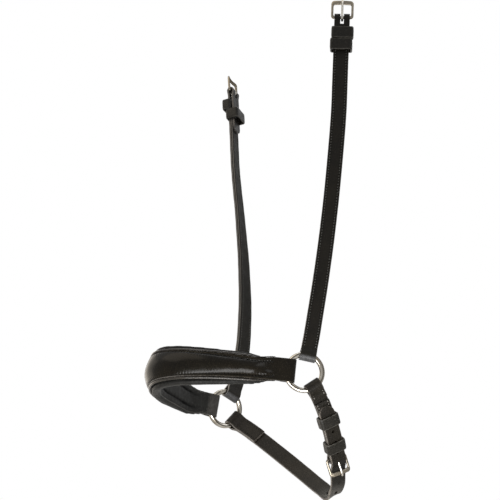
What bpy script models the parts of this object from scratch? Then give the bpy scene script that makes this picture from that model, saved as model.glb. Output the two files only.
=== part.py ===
"""A padded drop noseband of black leather with steel rings and buckles.

The horse would look towards -X.  Its near (left) side is -Y and +Z is up.  The origin is
the middle of the nosepiece's soft inner face, where the noseband rests on the nose.

A padded nosepiece goes round the front.  Its two ends are turned round two steel rings.
A cheek strap rises from each ring to a buckle for the headpiece.  The chin strap hangs
between the rings and closes with a third buckle on the near side.
"""

import math

import bmesh
import bpy
import numpy as np
from mathutils import Matrix

MM = 0.001
NEAR = -1
FAR = 1
SIDE_NAME = {NEAR: "near", FAR: "far"}
UP = np.array([0.0, 0.0, 1.0])

# Clearances
GAP = 0.3 * MM
KEEPER_SIDE_PLAY = 1.5 * MM
CHIN_KEEPER_PLAY = 0.6 * MM
NOSE_LOOP_PLAY = 0.5 * MM
CHEEK_LOOP_PLAY = 0.6 * MM
CHIN_LOOP_PLAY = 0.9 * MM

# Rings
RING_BORE = 30.6 * MM
RING_WIRE = 5.2 * MM
RING_SPACING = 161.0 * MM
RING_DROP = 5.0 * MM
RING_YAW = {NEAR: 24.0, FAR: 1.0}
RING_LEAN = {NEAR: -9.8, FAR: 9.8}

# Straps
STRAP_WIDTH = 16.0 * MM
STRAP_LAYER = 2.0 * MM
LINING_LAYER = 2.0 * MM
EDGE_ROUND = 0.4 * MM

# Cheek straps
CHEEK_RISE = 379.6 * MM
CHEEK_FLARE = {NEAR: 34.0 * MM, FAR: 40.0 * MM}
CHEEK_SLOPE_BACK = 29.0 * MM
CHEEK_BOW_BACK = 12.5 * MM
CHEEK_BOW_IN = 6.6 * MM
CHEEK_BOW_SHAPE = {NEAR: (1.0, 1.0), FAR: (0.8, 2.0)}
CHEEK_LOOP_AT = {NEAR: 79.0, FAR: 68.0}
CHEEK_TOP_YAW = {NEAR: 33.0, FAR: 38.0}
CHEEK_RING_TURN = 22.0 * MM
CHEEK_TOP_TURN = 52.0 * MM
CHEEK_LOOP_STRAIGHT = 7.0 * MM
CHEEK_SEAT_LEAD = 6.0 * MM
CHEEK_SHARES = (0.12, 0.24, 0.40, 0.58)
SEAT_LENGTH = 44.0 * MM
SEAT_BELOW_BUCKLE = 40.0 * MM

# Keepers
KEEPER_LEATHER = 1.6 * MM
KEEPER_CORNER = 1.2 * MM
KEEPER_HEIGHT = 12.0 * MM
KEEPER_BELOW_BAR = 12.0 * MM
KEEPER_SPACING = 0.6 * MM
FIXED_KEEPER_SHIFT = {NEAR: 1.0 * MM, FAR: 0.0}
BILLET_ROOM = 4.6 * MM
FAR_RUNNER_PLAY = 0.8 * MM
CHIN_KEEPER_HEIGHT = 12.0 * MM
CHIN_RUNNER_AT = 32.0 * MM
CHIN_FIXED_BELOW_BAR = 9.5 * MM

# Buckles
BUCKLE_INSIDE_WIDTH = 18.6 * MM
BUCKLE_SIDE_BAR = 2.4 * MM
BUCKLE_REAR_BAR = 3.0 * MM
BUCKLE_FRONT_BAR = 4.4 * MM
BUCKLE_WINDOW = 11.9 * MM
BUCKLE_THICKNESS = 2.4 * MM
BUCKLE_BOW = 1.6 * MM
BUCKLE_CORNER = 3.2 * MM
BUCKLE_EDGE = 0.5 * MM
BAR_CORNER_CUT = 0.2 * MM
BAR_PLAY = 0.35 * MM
TONGUE_WIRE = 2.2 * MM
TONGUE_OVERHANG = 1.6 * MM
TONGUE_DIP = 0.7 * MM
TONGUE_SLOT_PLAY = 0.8 * MM
TONGUE_SLOT_LENGTH = 14.5 * MM
TONGUE_SLOT_PAST_BAR = 7.0 * MM
TONGUE_SLOT_DEPTH = 18.0 * MM

# Nosepiece
NOSE_DEPTH = 125.0 * MM
NOSE_HALF_WIDTH = 77.0 * MM
NOSE_SHAPE = 1.7
NOSE_LOOP_AT = 175.0
NOSE_END_YAW = {NEAR: 15.0, FAR: 6.0}
NOSE_END_STRAIGHT = 10.0 * MM
NOSE_SHARES = (0.36, 0.5, 0.65, 0.8, 0.92, 1.0)
NOSE_SPREAD_SHARE = 0.75
FRONT_TILT = -2.0
FRONT_RISE = 2.2 * MM
FRONT_RISE_POWER = 8
FACE_LEATHER = 1.8 * MM
FACE_END_WIDTH = 22.8 * MM
FACE_WAIST_WIDTH = 20.4 * MM
FACE_FRONT_WIDTH = 28.4 * MM
FACE_END_STRAIGHT = 12.0 * MM
FACE_WAIST_AT = 30.0 * MM
FACE_TURN = 20.0 * MM
FACE_FOLD_BLEND = 7.0 * MM
SEAM_END_WIDTH = 14.4 * MM
SEAM_FRONT_WIDTH = 26.0 * MM
SEAM_SPREAD_AT = 25.0 * MM
CROWN_HEIGHT = 3.8 * MM
CROWN_START = 15.0 * MM
CROWN_RISE = 24.0 * MM
CROWN_POWERS = (1.8, 1.0)
FACE_COLUMNS = (-1.0, -0.84, -0.6, -0.3, 0.0, 0.3, 0.6, 0.84, 1.0)
FILLER_COLUMNS = (-0.64, -0.32, 0.0, 0.32, 0.64)
FILLER_EASE = 0.5 * MM
FILLER_LEAST = 0.2 * MM
FILLER_END = 26.0 * MM
BACKING_LAYER = 2.0 * MM
BACKING_INSET = 0.4 * MM
BACKING_END = 8.5 * MM
PIPING_CORD = 2.6 * MM
PIPING_END = 12.0 * MM
PIPING_END_SHARE = 0.3
PIPING_TAPER = 32.0 * MM
PAD_FRONT_WIDTH = 43.0 * MM
PAD_END_WIDTH = 22.6 * MM
PAD_FRONT_DEPTH = 9.5 * MM
PAD_END_DEPTH = 3.6 * MM
PAD_END = 6.5 * MM
PAD_WIDTH_POWER = 0.55
PAD_WIDTH_RISE = 32.0 * MM
PAD_DEPTH_RISE = 80.0 * MM
PAD_SQUARENESS = 2.7
PAD_END_BULGE = 0.7 * MM
PAD_END_BULGE_LENGTH = 5.0 * MM
PAD_PAST_TURN = 2.0 * MM
PAD_STEP_LENGTH = 14.0 * MM
PAD_LINING = 1.2 * MM
PAD_GROOVE = 1.4 * MM
PAD_GROOVE_WIDTH = 2.2 * MM
PAD_GROOVE_AT = 0.46
PAD_GROOVE_START = 14.0 * MM
PAD_GROOVE_RISE = 40.0 * MM
PAD_ANGLES = (-38, -20, 0, 22, 40, 54, 66, 78, 102, 114, 126, 140, 158, 180, 200, 218)
FOAM_BACK_ANGLES = (245, 295)
FOAM_EASE = 0.25 * MM
FOAM_END = PAD_END + 8.0 * MM

# Chin strap
CHIN_LOOP_AT = {NEAR: -56.0, FAR: -40.0}
CHIN_ROUTE = [
    (21.3, -77.0, -27.7), (37.2, -66.0, -46.7), (52.5, -51.0, -66.2),
    (64.0, -36.2, -84.4), (70.8, -27.2, -96.2), (71.2, -16.4, -103.8),
    (67.9, -2.0, -94.3), (59.9, 20.0, -75.4), (47.3, 41.0, -54.4),
    (31.9, 62.0, -32.2),
]
CHIN_NEAR_WIDTH_WAY = (0.85, -0.23, 0.43)
CHIN_FAR_WIDTH_WAY = (0.69, -0.26, 0.67)
CHAPE_LAYER = 2.2 * MM
CHIN_LAYER = 2.6 * MM
CHIN_BAR_AT = 82.5 * MM
CHIN_FOLD_RISE = 8.0 * MM
CHIN_TIP_AT = 21.5 * MM
CHAPE_RING_TURN = 13.0 * MM
CHAPE_BUCKLE_TURN_AT = 17.0 * MM
CHIN_FRAME_LIFT = 23.0
CHIN_FAR_TURN = 34.0 * MM
CHIN_FREE_AT = 116.0 * MM
CHIN_TURN_END = 152.0 * MM
CHIN_END_STRAIGHT = 10.0 * MM
CHIN_RING_BLEND = 8.0 * MM
USED_HOLE_PAST_BAR = 4.2 * MM
HOLE_ROUND = 4.0 * MM
HOLE_SPACING = 12.5 * MM
HOLE_STRETCH = 9.6 * MM
HOLES_BEFORE = 3
HOLES_AFTER = 4

# Mesh fineness
FOLD_STEPS = 8
FOLD_RISE_STEPS = (1.0, 0.7, 0.4, 0.15)
FOLD_STRAIGHT = 1.0 * MM
FOLD_BLEND = 8.5 * MM
BAR_FOLD_BLEND = 7.0 * MM
TIP_ANGLES = (12.0, 40.0, 65.0)
STRAP_STEP = 22.0 * MM
NOSE_STEP = 8.0 * MM
CHIN_STEP = 8.0 * MM
RING_SEGMENTS = 44
RING_SIDES = 8

# The ring line stands behind the origin by what the nosepiece leaves inside its pad.
PAD_SET_BACK = BACKING_LAYER + GAP
RING_BACK = NOSE_DEPTH - PAD_SET_BACK - PAD_FRONT_DEPTH

LEATHER = ((0.012, 0.011, 0.010), 0.42, 0.0)
LINING = ((0.030, 0.029, 0.028), 0.62, 0.0)
FOAM = ((0.055, 0.052, 0.048), 0.90, 0.0)
STEEL = ((0.62, 0.59, 0.54), 0.22, 1.0)

PARTS = "noseband"
CUTTERS = "cutters"


# Vectors and easing

def unit(vector):
    """Return a vector of length one."""
    vector = np.asarray(vector, float)
    return vector / np.linalg.norm(vector)


def square_to(vector, axis):
    """Return the part of a vector that is square to an axis, at length one."""
    return unit(vector - np.dot(vector, axis) * axis)


def ease(value):
    """Rise smoothly from 0 to 1 as value goes from 0 to 1."""
    value = min(max(value, 0.0), 1.0)
    return value * value * (3.0 - 2.0 * value)


def steps_between(start, end, pitch):
    """Return start, the whole multiples of pitch between, and end.

    Layers on one route so bend at the same places.
    """
    low, high = min(start, end) + pitch / 8, max(start, end) - pitch / 8
    inner = [i * pitch for i in range(math.ceil(low / pitch), math.floor(high / pitch) + 1)]
    return [start] + (inner if start < end else inner[::-1]) + [end]


# Scene set-up

def clear_scene():
    """Remove every object, and make the collections for parts and cutters."""
    for item in list(bpy.data.objects):
        bpy.data.objects.remove(item, do_unlink=True)
    for name in (PARTS, CUTTERS):
        group = bpy.data.collections.new(name)
        bpy.context.scene.collection.children.link(group)


def material(name, finish):
    """Return the named material, made once from colour, roughness and metallic."""
    found = bpy.data.materials.get(name)
    if found:
        return found
    colour, roughness, metallic = finish
    made = bpy.data.materials.new(name)
    made.use_nodes = True
    shader = made.node_tree.nodes["Principled BSDF"]
    shader.inputs["Base Color"].default_value = (*colour, 1.0)
    shader.inputs["Roughness"].default_value = roughness
    shader.inputs["Metallic"].default_value = metallic
    return made


def put_in(item, group):
    """Move an object to the parts or the cutters."""
    for other in list(item.users_collection):
        other.objects.unlink(item)
    bpy.data.collections[group].objects.link(item)
    if group == CUTTERS:
        item.hide_render = True
        item.display_type = "WIRE"
    return item


def object_from(name, mesh, finish=None, group=PARTS):
    """Make an object of a mesh, with its material."""
    item = put_in(bpy.data.objects.new(name, mesh), group)
    if finish:
        mesh.materials.append(material(name + "_finish", finish))
    return item


def smooth_mesh(mesh, angle=40.0):
    """Shade a mesh smooth, with its real corners kept sharp."""
    mesh.shade_smooth()
    mesh.set_sharp_from_angle(angle=math.radians(angle))


def frame_matrix(origin, x_way, y_way, z_way):
    """Return the matrix that places local X, Y and Z along three ways."""
    rows = np.eye(4)
    rows[:3, 0] = x_way
    rows[:3, 1] = y_way
    rows[:3, 2] = z_way
    rows[:3, 3] = origin
    return Matrix(rows.tolist())


# Routes that straps follow

class Route:
    """A smooth line through points, with a width direction that turns along it.

    A place on it is given by the length along it, and by how far it stands off the line
    outwards, square to the strap's face.
    """

    def __init__(self, points, widths, outward_sign):
        points = np.array(points, float)
        knots = np.r_[0.0, np.cumsum(np.linalg.norm(np.diff(points, axis=0), axis=1))]
        slopes = np.gradient(points, knots, axis=0)
        slopes[0] = unit(points[1] - points[0])
        slopes[-1] = unit(points[-1] - points[-2])
        fine = []
        fine_widths = []
        widths = np.array([unit(width) for width in widths])
        samples = 24
        for i in range(len(points) - 1):
            span = knots[i + 1] - knots[i]
            last = i == len(points) - 2
            for j in range(samples + last):
                t = j / samples
                fine.append(
                    (2 * t**3 - 3 * t**2 + 1) * points[i]
                    + (t**3 - 2 * t**2 + t) * span * slopes[i]
                    + (3 * t**2 - 2 * t**3) * points[i + 1]
                    + (t**3 - t**2) * span * slopes[i + 1])
                fine_widths.append((1 - t) * widths[i] + t * widths[i + 1])
        self.line = np.array(fine)
        self.widths = np.array(fine_widths)
        self.along = np.r_[0.0, np.cumsum(np.linalg.norm(np.diff(self.line, axis=0), axis=1))]
        self.ways = np.gradient(self.line, self.along, axis=0)
        self.length = self.along[-1]
        self.sign = outward_sign

    def at(self, length):
        """Return the place, the way along, the width way and the outward way."""
        inside = min(max(length, 0.0), self.length)
        place = np.array([np.interp(inside, self.along, self.line[:, k]) for k in range(3)])
        way = unit([np.interp(inside, self.along, self.ways[:, k]) for k in range(3)])
        width = np.array([np.interp(inside, self.along, self.widths[:, k]) for k in range(3)])
        width = square_to(width, way)
        place = place + (length - inside) * way
        return place, way, width, self.sign * np.cross(way, width)

    def place(self, length, off=0.0, across=0.0):
        """Return the point at a length, a stand-off and a distance across."""
        place, _, width, out = self.at(length)
        return place + off * out + across * width


def fold(centre, middle, half_gap, radius, crest, straight=FOLD_STRAIGHT, blend=FOLD_BLEND):
    """Return the line of a strap that turns round a wire or a bar.

    It runs from the inner layer to the outer layer, as lengths and stand-offs.  The crest
    is +1 where it points along the route and -1 where it points back.
    """
    side = []
    for step in FOLD_RISE_STEPS:
        drop = half_gap + (radius - half_gap) * (1.0 - ease(step))
        side.append((centre - crest * (straight + blend * step), drop))
    if straight:
        side.append((centre - crest * straight, radius))
    turn = []
    for i in range(FOLD_STEPS + 1):
        angle = math.pi * i / FOLD_STEPS
        turn.append((centre + crest * radius * math.sin(angle), middle - radius * math.cos(angle)))
    inner = [(a, middle - q) for a, q in side]
    outer = [(a, middle + q) for a, q in reversed(side)]
    return inner + turn + outer


def flat_run(start, end, off, pitch=STRAP_STEP):
    """Return places along a flat layer."""
    return [(a, off) for a in steps_between(start, end, pitch)]


# Solids from strips and outlines

def strip(name, route, line, half_width, thickness, finish, columns=(-1.0, 1.0), lift=None,
          edge=EDGE_ROUND):
    """Make a strap: an open strip along a line, thickened and with rounded edges.

    half_width is a number, or one for each place on the line.  lift adds a stand-off to
    each column, for a crown.
    """
    mesh = bpy.data.meshes.new(name)
    rows = []
    body = bmesh.new()
    for i, (length, off) in enumerate(line):
        half = half_width[i] if hasattr(half_width, "__len__") else half_width
        row = []
        for column in columns:
            rise = lift(length, off, column) if lift else 0.0
            row.append(body.verts.new(route.place(length, off + rise, column * half)))
        rows.append(row)
    for before, after in zip(rows, rows[1:]):
        for j in range(len(columns) - 1):
            body.faces.new((before[j], before[j + 1], after[j + 1], after[j]))
    body.to_mesh(mesh)
    body.free()
    item = object_from(name, mesh, finish)
    thicken(item, thickness)
    if edge:
        round_edges(item, edge)
    mesh.shade_smooth()
    return item


def thicken(item, thickness):
    """Give an open surface its thickness, half to each side."""
    solid = item.modifiers.new("thickness", "SOLIDIFY")
    solid.thickness = thickness
    solid.offset = 0.0
    solid.use_even_offset = True


def round_edges(item, width, segments=1):
    """Round the corners of a solid."""
    bevel = item.modifiers.new("edges", "BEVEL")
    bevel.width = width
    bevel.segments = segments
    bevel.limit_method = "ANGLE"
    bevel.angle_limit = math.radians(50.0)


def cut(item, cutter):
    """Cut one solid with another."""
    boolean = item.modifiers.new("cut", "BOOLEAN")
    boolean.operation = "DIFFERENCE"
    boolean.object = cutter
    boolean.solver = "EXACT"


def rounded_outline(low_x, high_x, low_y, high_y, corner, corner_steps=3, edge_steps=1):
    """Return the points of a rectangle with round corners, anticlockwise."""
    centres = [(high_x - corner, high_y - corner, 0.0), (low_x + corner, high_y - corner, 90.0),
               (low_x + corner, low_y + corner, 180.0), (high_x - corner, low_y + corner, 270.0)]
    corners = []
    for x, y, start in centres:
        turn = [math.radians(start + 90.0 * i / corner_steps) for i in range(corner_steps + 1)]
        corners.append([(x + corner * math.cos(t), y + corner * math.sin(t)) for t in turn])
    points = []
    for now, after in zip(corners, corners[1:] + corners[:1]):
        points += now
        (x0, y0), (x1, y1) = now[-1], after[0]
        for i in range(1, edge_steps):
            share = i / edge_steps
            points.append((x0 + (x1 - x0) * share, y0 + (y1 - y0) * share))
    return points


def plate(name, outlines, thickness, place, finish):
    """Make a flat plate with windows from outlines in its local XY plane."""
    curve = bpy.data.curves.new(name, "CURVE")
    curve.dimensions = "2D"
    curve.fill_mode = "BOTH"
    curve.extrude = thickness / 2
    for outline in outlines:
        spline = curve.splines.new("POLY")
        spline.points.add(len(outline) - 1)
        for point, (x, y) in zip(spline.points, outline):
            point.co = (x, y, 0.0, 1.0)
        spline.use_cyclic_u = True
    shape = bpy.data.objects.new(name + "_outline", curve)
    bpy.context.scene.collection.objects.link(shape)
    bpy.context.view_layer.update()
    drawn = shape.evaluated_get(bpy.context.evaluated_depsgraph_get())
    mesh = bpy.data.meshes.new_from_object(drawn)
    mesh.name = name
    bpy.data.objects.remove(shape, do_unlink=True)
    body = bmesh.new()
    body.from_mesh(mesh)
    bmesh.ops.remove_doubles(body, verts=body.verts, dist=0.00001)
    bmesh.ops.recalc_face_normals(body, faces=body.faces)
    body.to_mesh(mesh)
    body.free()
    mesh.materials.clear()
    item = object_from(name, mesh, finish)
    item.matrix_world = place
    return item


def wire(name, points, diameter, finish, place=None, resolution=2, fullness=None):
    """Make a round wire or cord along points, closed at its ends.

    fullness, where given, is a share of the diameter for each point.
    """
    curve = bpy.data.curves.new(name, "CURVE")
    curve.dimensions = "3D"
    curve.bevel_depth = diameter / 2
    curve.bevel_resolution = resolution
    curve.use_fill_caps = True
    spline = curve.splines.new("POLY")
    spline.points.add(len(points) - 1)
    for i, (point, spot) in enumerate(zip(spline.points, points)):
        point.co = (*spot, 1.0)
        point.radius = fullness[i] if fullness else 1.0
    curve.materials.append(material(name + "_finish", finish))
    item = bpy.data.objects.new(name, curve)
    bpy.data.collections[PARTS].objects.link(item)
    if place is not None:
        item.matrix_world = place
    return item


def block_cutter(name, size, place):
    """Make a box that cuts, centred on a place."""
    mesh = bpy.data.meshes.new(name)
    body = bmesh.new()
    bmesh.ops.create_cube(body, size=1.0)
    bmesh.ops.scale(body, vec=size, verts=body.verts)
    body.to_mesh(mesh)
    body.free()
    item = object_from(name, mesh, group=CUTTERS)
    item.matrix_world = place
    return item


# Rings

class Ring:
    """The place of one ring: its centre, its outward axis, and its own back and up ways."""

    def __init__(self, side):
        self.side = side
        yaw = math.radians(RING_YAW[side])
        lean = math.radians(RING_LEAN[side])
        self.centre = np.array([RING_BACK, side * RING_SPACING / 2, -RING_DROP])
        self.axis = np.array([-math.sin(yaw) * math.cos(lean),
                              side * math.cos(yaw) * math.cos(lean), math.sin(lean)])
        self.up = square_to(UP, self.axis)
        self.back = side * np.cross(self.axis, self.up)
        self.radius = (RING_BORE + RING_WIRE) / 2

    def radial(self, degrees):
        """Return the way from the centre at an angle, from back towards up."""
        turn = math.radians(degrees)
        return math.cos(turn) * self.back + math.sin(turn) * self.up

    def tangent(self, degrees):
        """Return the way of the wire at an angle."""
        turn = math.radians(degrees)
        return -math.sin(turn) * self.back + math.cos(turn) * self.up

    def wire_point(self, degrees):
        """Return the middle of the wire at an angle."""
        return self.centre + self.radius * self.radial(degrees)

    def sag(self, half_width):
        """Return how far the wire curves away behind a straight loop of this width."""
        return self.radius - math.sqrt(self.radius**2 - half_width**2)


def make_ring(ring):
    """Make one steel ring."""
    name = SIDE_NAME[ring.side] + "_ring"
    bpy.ops.mesh.primitive_torus_add(
        major_radius=ring.radius, minor_radius=RING_WIRE / 2,
        major_segments=RING_SEGMENTS, minor_segments=RING_SIDES)
    item = bpy.context.object
    item.name = name
    item.data.name = name
    put_in(item, PARTS)
    item.matrix_world = frame_matrix(ring.centre, ring.back, np.cross(ring.axis, ring.back),
                                     ring.axis)
    item.data.materials.append(material(name + "_finish", STEEL))
    item.data.shade_smooth()
    return item


# Buckles

BAR_INNER_RADIUS = math.hypot(BUCKLE_REAR_BAR, BUCKLE_THICKNESS) / 2 - BAR_CORNER_CUT + BAR_PLAY
TONGUE_EYE = BAR_INNER_RADIUS + TONGUE_WIRE / 2
FRONT_BAR_MIDDLE = BUCKLE_REAR_BAR / 2 + BUCKLE_WINDOW + BUCKLE_FRONT_BAR / 2


def buckle_frame(name, place):
    """Make a buckle frame: local X along the rear bar, Y towards the front bar, Z outwards."""
    inner = BUCKLE_INSIDE_WIDTH / 2
    outer = inner + BUCKLE_SIDE_BAR
    rear = BUCKLE_REAR_BAR / 2
    front = rear + BUCKLE_WINDOW
    outlines = [
        rounded_outline(-outer, outer, -rear, front + BUCKLE_FRONT_BAR, BUCKLE_CORNER, 3, 4),
        rounded_outline(-inner, inner, rear, front, BUCKLE_CORNER / 2, 2, 4),
    ]
    item = plate(name, outlines, BUCKLE_THICKNESS, place, STEEL)
    for vertex in item.data.vertices:
        reach = max(vertex.co.y - rear, 0.0) / front
        vertex.co.z += BUCKLE_BOW * reach * (1.0 - (vertex.co.x / outer) ** 2)
    round_edges(item, BUCKLE_EDGE)
    item.data.shade_smooth()
    return item


def buckle_tongue(name, place):
    """Make a buckle tongue: an eye round the rear bar and a shank to the front bar."""
    over = BUCKLE_THICKNESS / 2 + BUCKLE_BOW + GAP + TONGUE_WIRE / 2
    points = []
    for degrees in range(360, 89, -30):
        turn = math.radians(degrees)
        points.append((0.0, TONGUE_EYE * math.cos(turn), TONGUE_EYE * math.sin(turn)))
    points.append((0.0, FRONT_BAR_MIDDLE * 0.45, TONGUE_EYE + 0.45 * (over - TONGUE_EYE)))
    points.append((0.0, FRONT_BAR_MIDDLE - BUCKLE_FRONT_BAR / 2, over))
    points.append((0.0, FRONT_BAR_MIDDLE + BUCKLE_FRONT_BAR / 4, over))
    points.append((0.0, FRONT_BAR_MIDDLE + BUCKLE_FRONT_BAR / 2 + TONGUE_OVERHANG,
                   over - TONGUE_DIP))
    return wire(name, points, TONGUE_WIRE, STEEL, place, resolution=2)


def tongue_slot(item, place):
    """Cut the slot for the tongue through the fold of a strap round its buckle bar."""
    size = (TONGUE_WIRE + 2 * TONGUE_SLOT_PLAY, TONGUE_SLOT_LENGTH, TONGUE_SLOT_DEPTH)
    shift = Matrix.Translation((0.0, TONGUE_SLOT_PAST_BAR - TONGUE_SLOT_LENGTH / 2, 0.0))
    cut(item, block_cutter(item.name + "_slot", size, place @ shift))


def keeper(name, route, length, height, low_w, high_w, low_q, high_q):
    """Make a keeper: a leather band round the layers, at a length along the route."""
    place, _, width, out = route.at(length + height / 2)
    grow = KEEPER_LEATHER
    outlines = [
        rounded_outline(low_w - grow, high_w + grow, low_q - grow, high_q + grow,
                        KEEPER_CORNER + grow, 3),
        rounded_outline(low_w, high_w, low_q, high_q, KEEPER_CORNER, 2),
    ]
    z_way = np.cross(width, out)
    item = plate(name, outlines, height, frame_matrix(place, width, out, z_way), LEATHER)
    smooth_mesh(item.data)
    return item


# Cheek straps

LAYER_PITCH = STRAP_LAYER + GAP
CHEEK_RING_MIDDLE = -LAYER_PITCH / 2
CHEEK_BAR_MIDDLE = -(STRAP_LAYER + LINING_LAYER + 2 * GAP) / 2
CHAPE_OFF = 2 * CHEEK_BAR_MIDDLE


def cheek_route(ring):
    """Return the route of a cheek strap's outer layer, from ring to buckle bar."""
    side = ring.side
    loop_at = CHEEK_LOOP_AT[side]
    way = ring.radial(loop_at)
    width = -ring.tangent(loop_at)
    start = ring.wire_point(loop_at) - CHEEK_RING_MIDDLE * ring.axis
    lean = math.atan2(CHEEK_SLOPE_BACK, CHEEK_RISE)
    yaw = math.radians(CHEEK_TOP_YAW[side])
    end = ring.centre + np.array([CHEEK_SLOPE_BACK, side * CHEEK_FLARE[side], CHEEK_RISE])
    top_width = np.array([math.cos(yaw), side * math.sin(yaw), -math.sin(lean)])
    rise_early, rise_late = CHEEK_BOW_SHAPE[side]
    peak = rise_early / (rise_early + rise_late)
    most = peak**rise_early * (1 - peak) ** rise_late
    points = [start, start + CHEEK_LOOP_STRAIGHT * way]
    widths = [width, width]
    top_straight = SEAT_BELOW_BUCKLE + SEAT_LENGTH
    flat_share = 1.0 - top_straight / np.linalg.norm(end - start)
    for share in (*CHEEK_SHARES, flat_share):
        bow = share**rise_early * (1 - share) ** rise_late / most
        shift = np.array([CHEEK_BOW_BACK, -side * CHEEK_BOW_IN, 0.0]) * bow
        points.append(start + (end - start) * share + shift)
        turn = min(share / flat_share, 1.0)
        widths.append(unit((1 - ease(turn)) * width + ease(turn) * top_width))
    last = points[-1]
    points.insert(-1, last - CHEEK_SEAT_LEAD * unit(end - last))
    widths.insert(-1, top_width)
    for share in (0.34, 0.67, 1.0):
        points.append(last + (end - last) * share)
        widths.append(top_width)
    return Route(points, widths, side)


def make_cheek(ring):
    """Make one cheek strap with its lining, keepers and buckle."""
    side = SIDE_NAME[ring.side]
    route = cheek_route(ring)
    half = STRAP_WIDTH / 2
    bar_at = route.length
    ring_radius = RING_WIRE / 2 + GAP + CHEEK_LOOP_PLAY + STRAP_LAYER / 2
    loop_centre = -ring.sag(half) + CHEEK_LOOP_PLAY
    bar_radius = BAR_INNER_RADIUS + STRAP_LAYER / 2
    seat_low = bar_at - SEAT_BELOW_BUCKLE - SEAT_LENGTH
    seat_high = bar_at - SEAT_BELOW_BUCKLE

    ring_fold = fold(loop_centre, CHEEK_RING_MIDDLE, LAYER_PITCH / 2, ring_radius, -1)
    bar_fold = fold(bar_at, CHEEK_BAR_MIDDLE, -CHEEK_BAR_MIDDLE, bar_radius, 1, 0.0,
                    BAR_FOLD_BLEND)
    tip = bar_at - CHEEK_TOP_TURN
    tip_line = [(tip + half * (1 - math.cos(math.radians(t))), CHAPE_OFF) for t in TIP_ANGLES]
    line = [(CHEEK_RING_TURN, -LAYER_PITCH)]
    line += ring_fold
    line += flat_run(ring_fold[-1][0], seat_low, 0.0)[1:]
    line += [(seat_high, 0.0)]
    line += list(reversed(bar_fold))
    line += [(tip + half, CHAPE_OFF)]
    line += list(reversed(tip_line))
    widths = [half] * (len(line) - len(tip_line))
    widths += [half * math.sin(math.radians(t)) for t in reversed(TIP_ANGLES)]
    strap = strip(side + "_cheek_strap", route, line, widths, STRAP_LAYER, LEATHER)

    bar_place, way, _, out = route.at(bar_at)
    bar = bar_place + CHEEK_BAR_MIDDLE * out
    buckle = frame_matrix(bar, np.cross(way, out), way, out)
    tongue_slot(strap, buckle)
    buckle_frame(side + "_cheek_buckle_frame", buckle)
    buckle_tongue(side + "_cheek_buckle_tongue", buckle)

    fixed_at = bar_at - KEEPER_BELOW_BAR - KEEPER_HEIGHT
    runner_at = fixed_at - KEEPER_SPACING - KEEPER_HEIGHT
    lining_line = flat_run(CHEEK_RING_TURN + 2 * GAP, seat_low, -LAYER_PITCH)
    lining_line += [(seat_high, -LAYER_PITCH), (fixed_at - KEEPER_SPACING, -LAYER_PITCH)]
    strip(side + "_cheek_lining", route, lining_line, half, LINING_LAYER, LINING)

    room = half + KEEPER_SIDE_PLAY
    skin = STRAP_LAYER / 2 + GAP
    shift = FIXED_KEEPER_SHIFT[ring.side]
    keeper(side + "_fixed_keeper", route, fixed_at, KEEPER_HEIGHT, shift - room, shift + room,
           -skin, skin + BILLET_ROOM)
    back = CHAPE_OFF - STRAP_LAYER / 2 - GAP
    front = skin + BILLET_ROOM
    if ring.side == FAR:
        back, front = back - BILLET_ROOM + FAR_RUNNER_PLAY, skin + FAR_RUNNER_PLAY
    keeper(side + "_runner_keeper", route, runner_at, KEEPER_HEIGHT, -room, room, back, front)


# Nosepiece

FACE_OFF = GAP + FACE_LEATHER / 2
TURN_OFF = -BACKING_LAYER - GAP - FACE_LEATHER / 2
NOSE_MIDDLE = (FACE_OFF + TURN_OFF) / 2


def nose_route(near, far):
    """Return the route round the nose, from the near ring's wire to the far ring's."""
    def half_width(share):
        return NOSE_HALF_WIDTH * math.sqrt(max(1.0 - share**NOSE_SHAPE, 0.0))

    points = []
    widths = []
    for ring in (near, far):
        side = ring.side
        width = -ring.tangent(NOSE_LOOP_AT)
        yaw = math.radians(NOSE_END_YAW[side])
        way = square_to(np.array([-math.cos(yaw), -side * math.sin(yaw), 0.0]), width)
        out = side * np.cross(way, width)
        sag = ring.sag(FACE_END_WIDTH / 2)
        sideways = -0.5 * sag * np.dot(ring.radial(NOSE_LOOP_AT), out)
        start = ring.wire_point(NOSE_LOOP_AT) + (sideways - NOSE_MIDDLE) * out
        run = [start, start + NOSE_END_STRAIGHT * way]
        first = (RING_BACK - run[1][0]) / NOSE_DEPTH
        spread = side * run[1][1] - half_width(first)
        for share in NOSE_SHARES:
            fade = 1.0 - ease((share - first) / (NOSE_SPREAD_SHARE - first))
            height = FRONT_RISE * share**FRONT_RISE_POWER - RING_DROP * (1.0 - share**2)
            run.append(np.array([RING_BACK - NOSE_DEPTH * share,
                                 side * (half_width(share) + spread * fade), height]))
        tilt = math.radians(FRONT_TILT)
        front_up = np.array([-math.sin(tilt), 0.0, math.cos(tilt)])
        lean = [width, width, unit(0.7 * width + 0.3 * UP), unit(0.3 * width + 0.7 * UP)]
        lean += [unit(UP + front_up), front_up, front_up, front_up]
        if ring is near:
            points += run
            widths += lean
        else:
            points += run[-2::-1]
            widths += lean[-2::-1]
    return Route(points, widths, NEAR)


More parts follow.
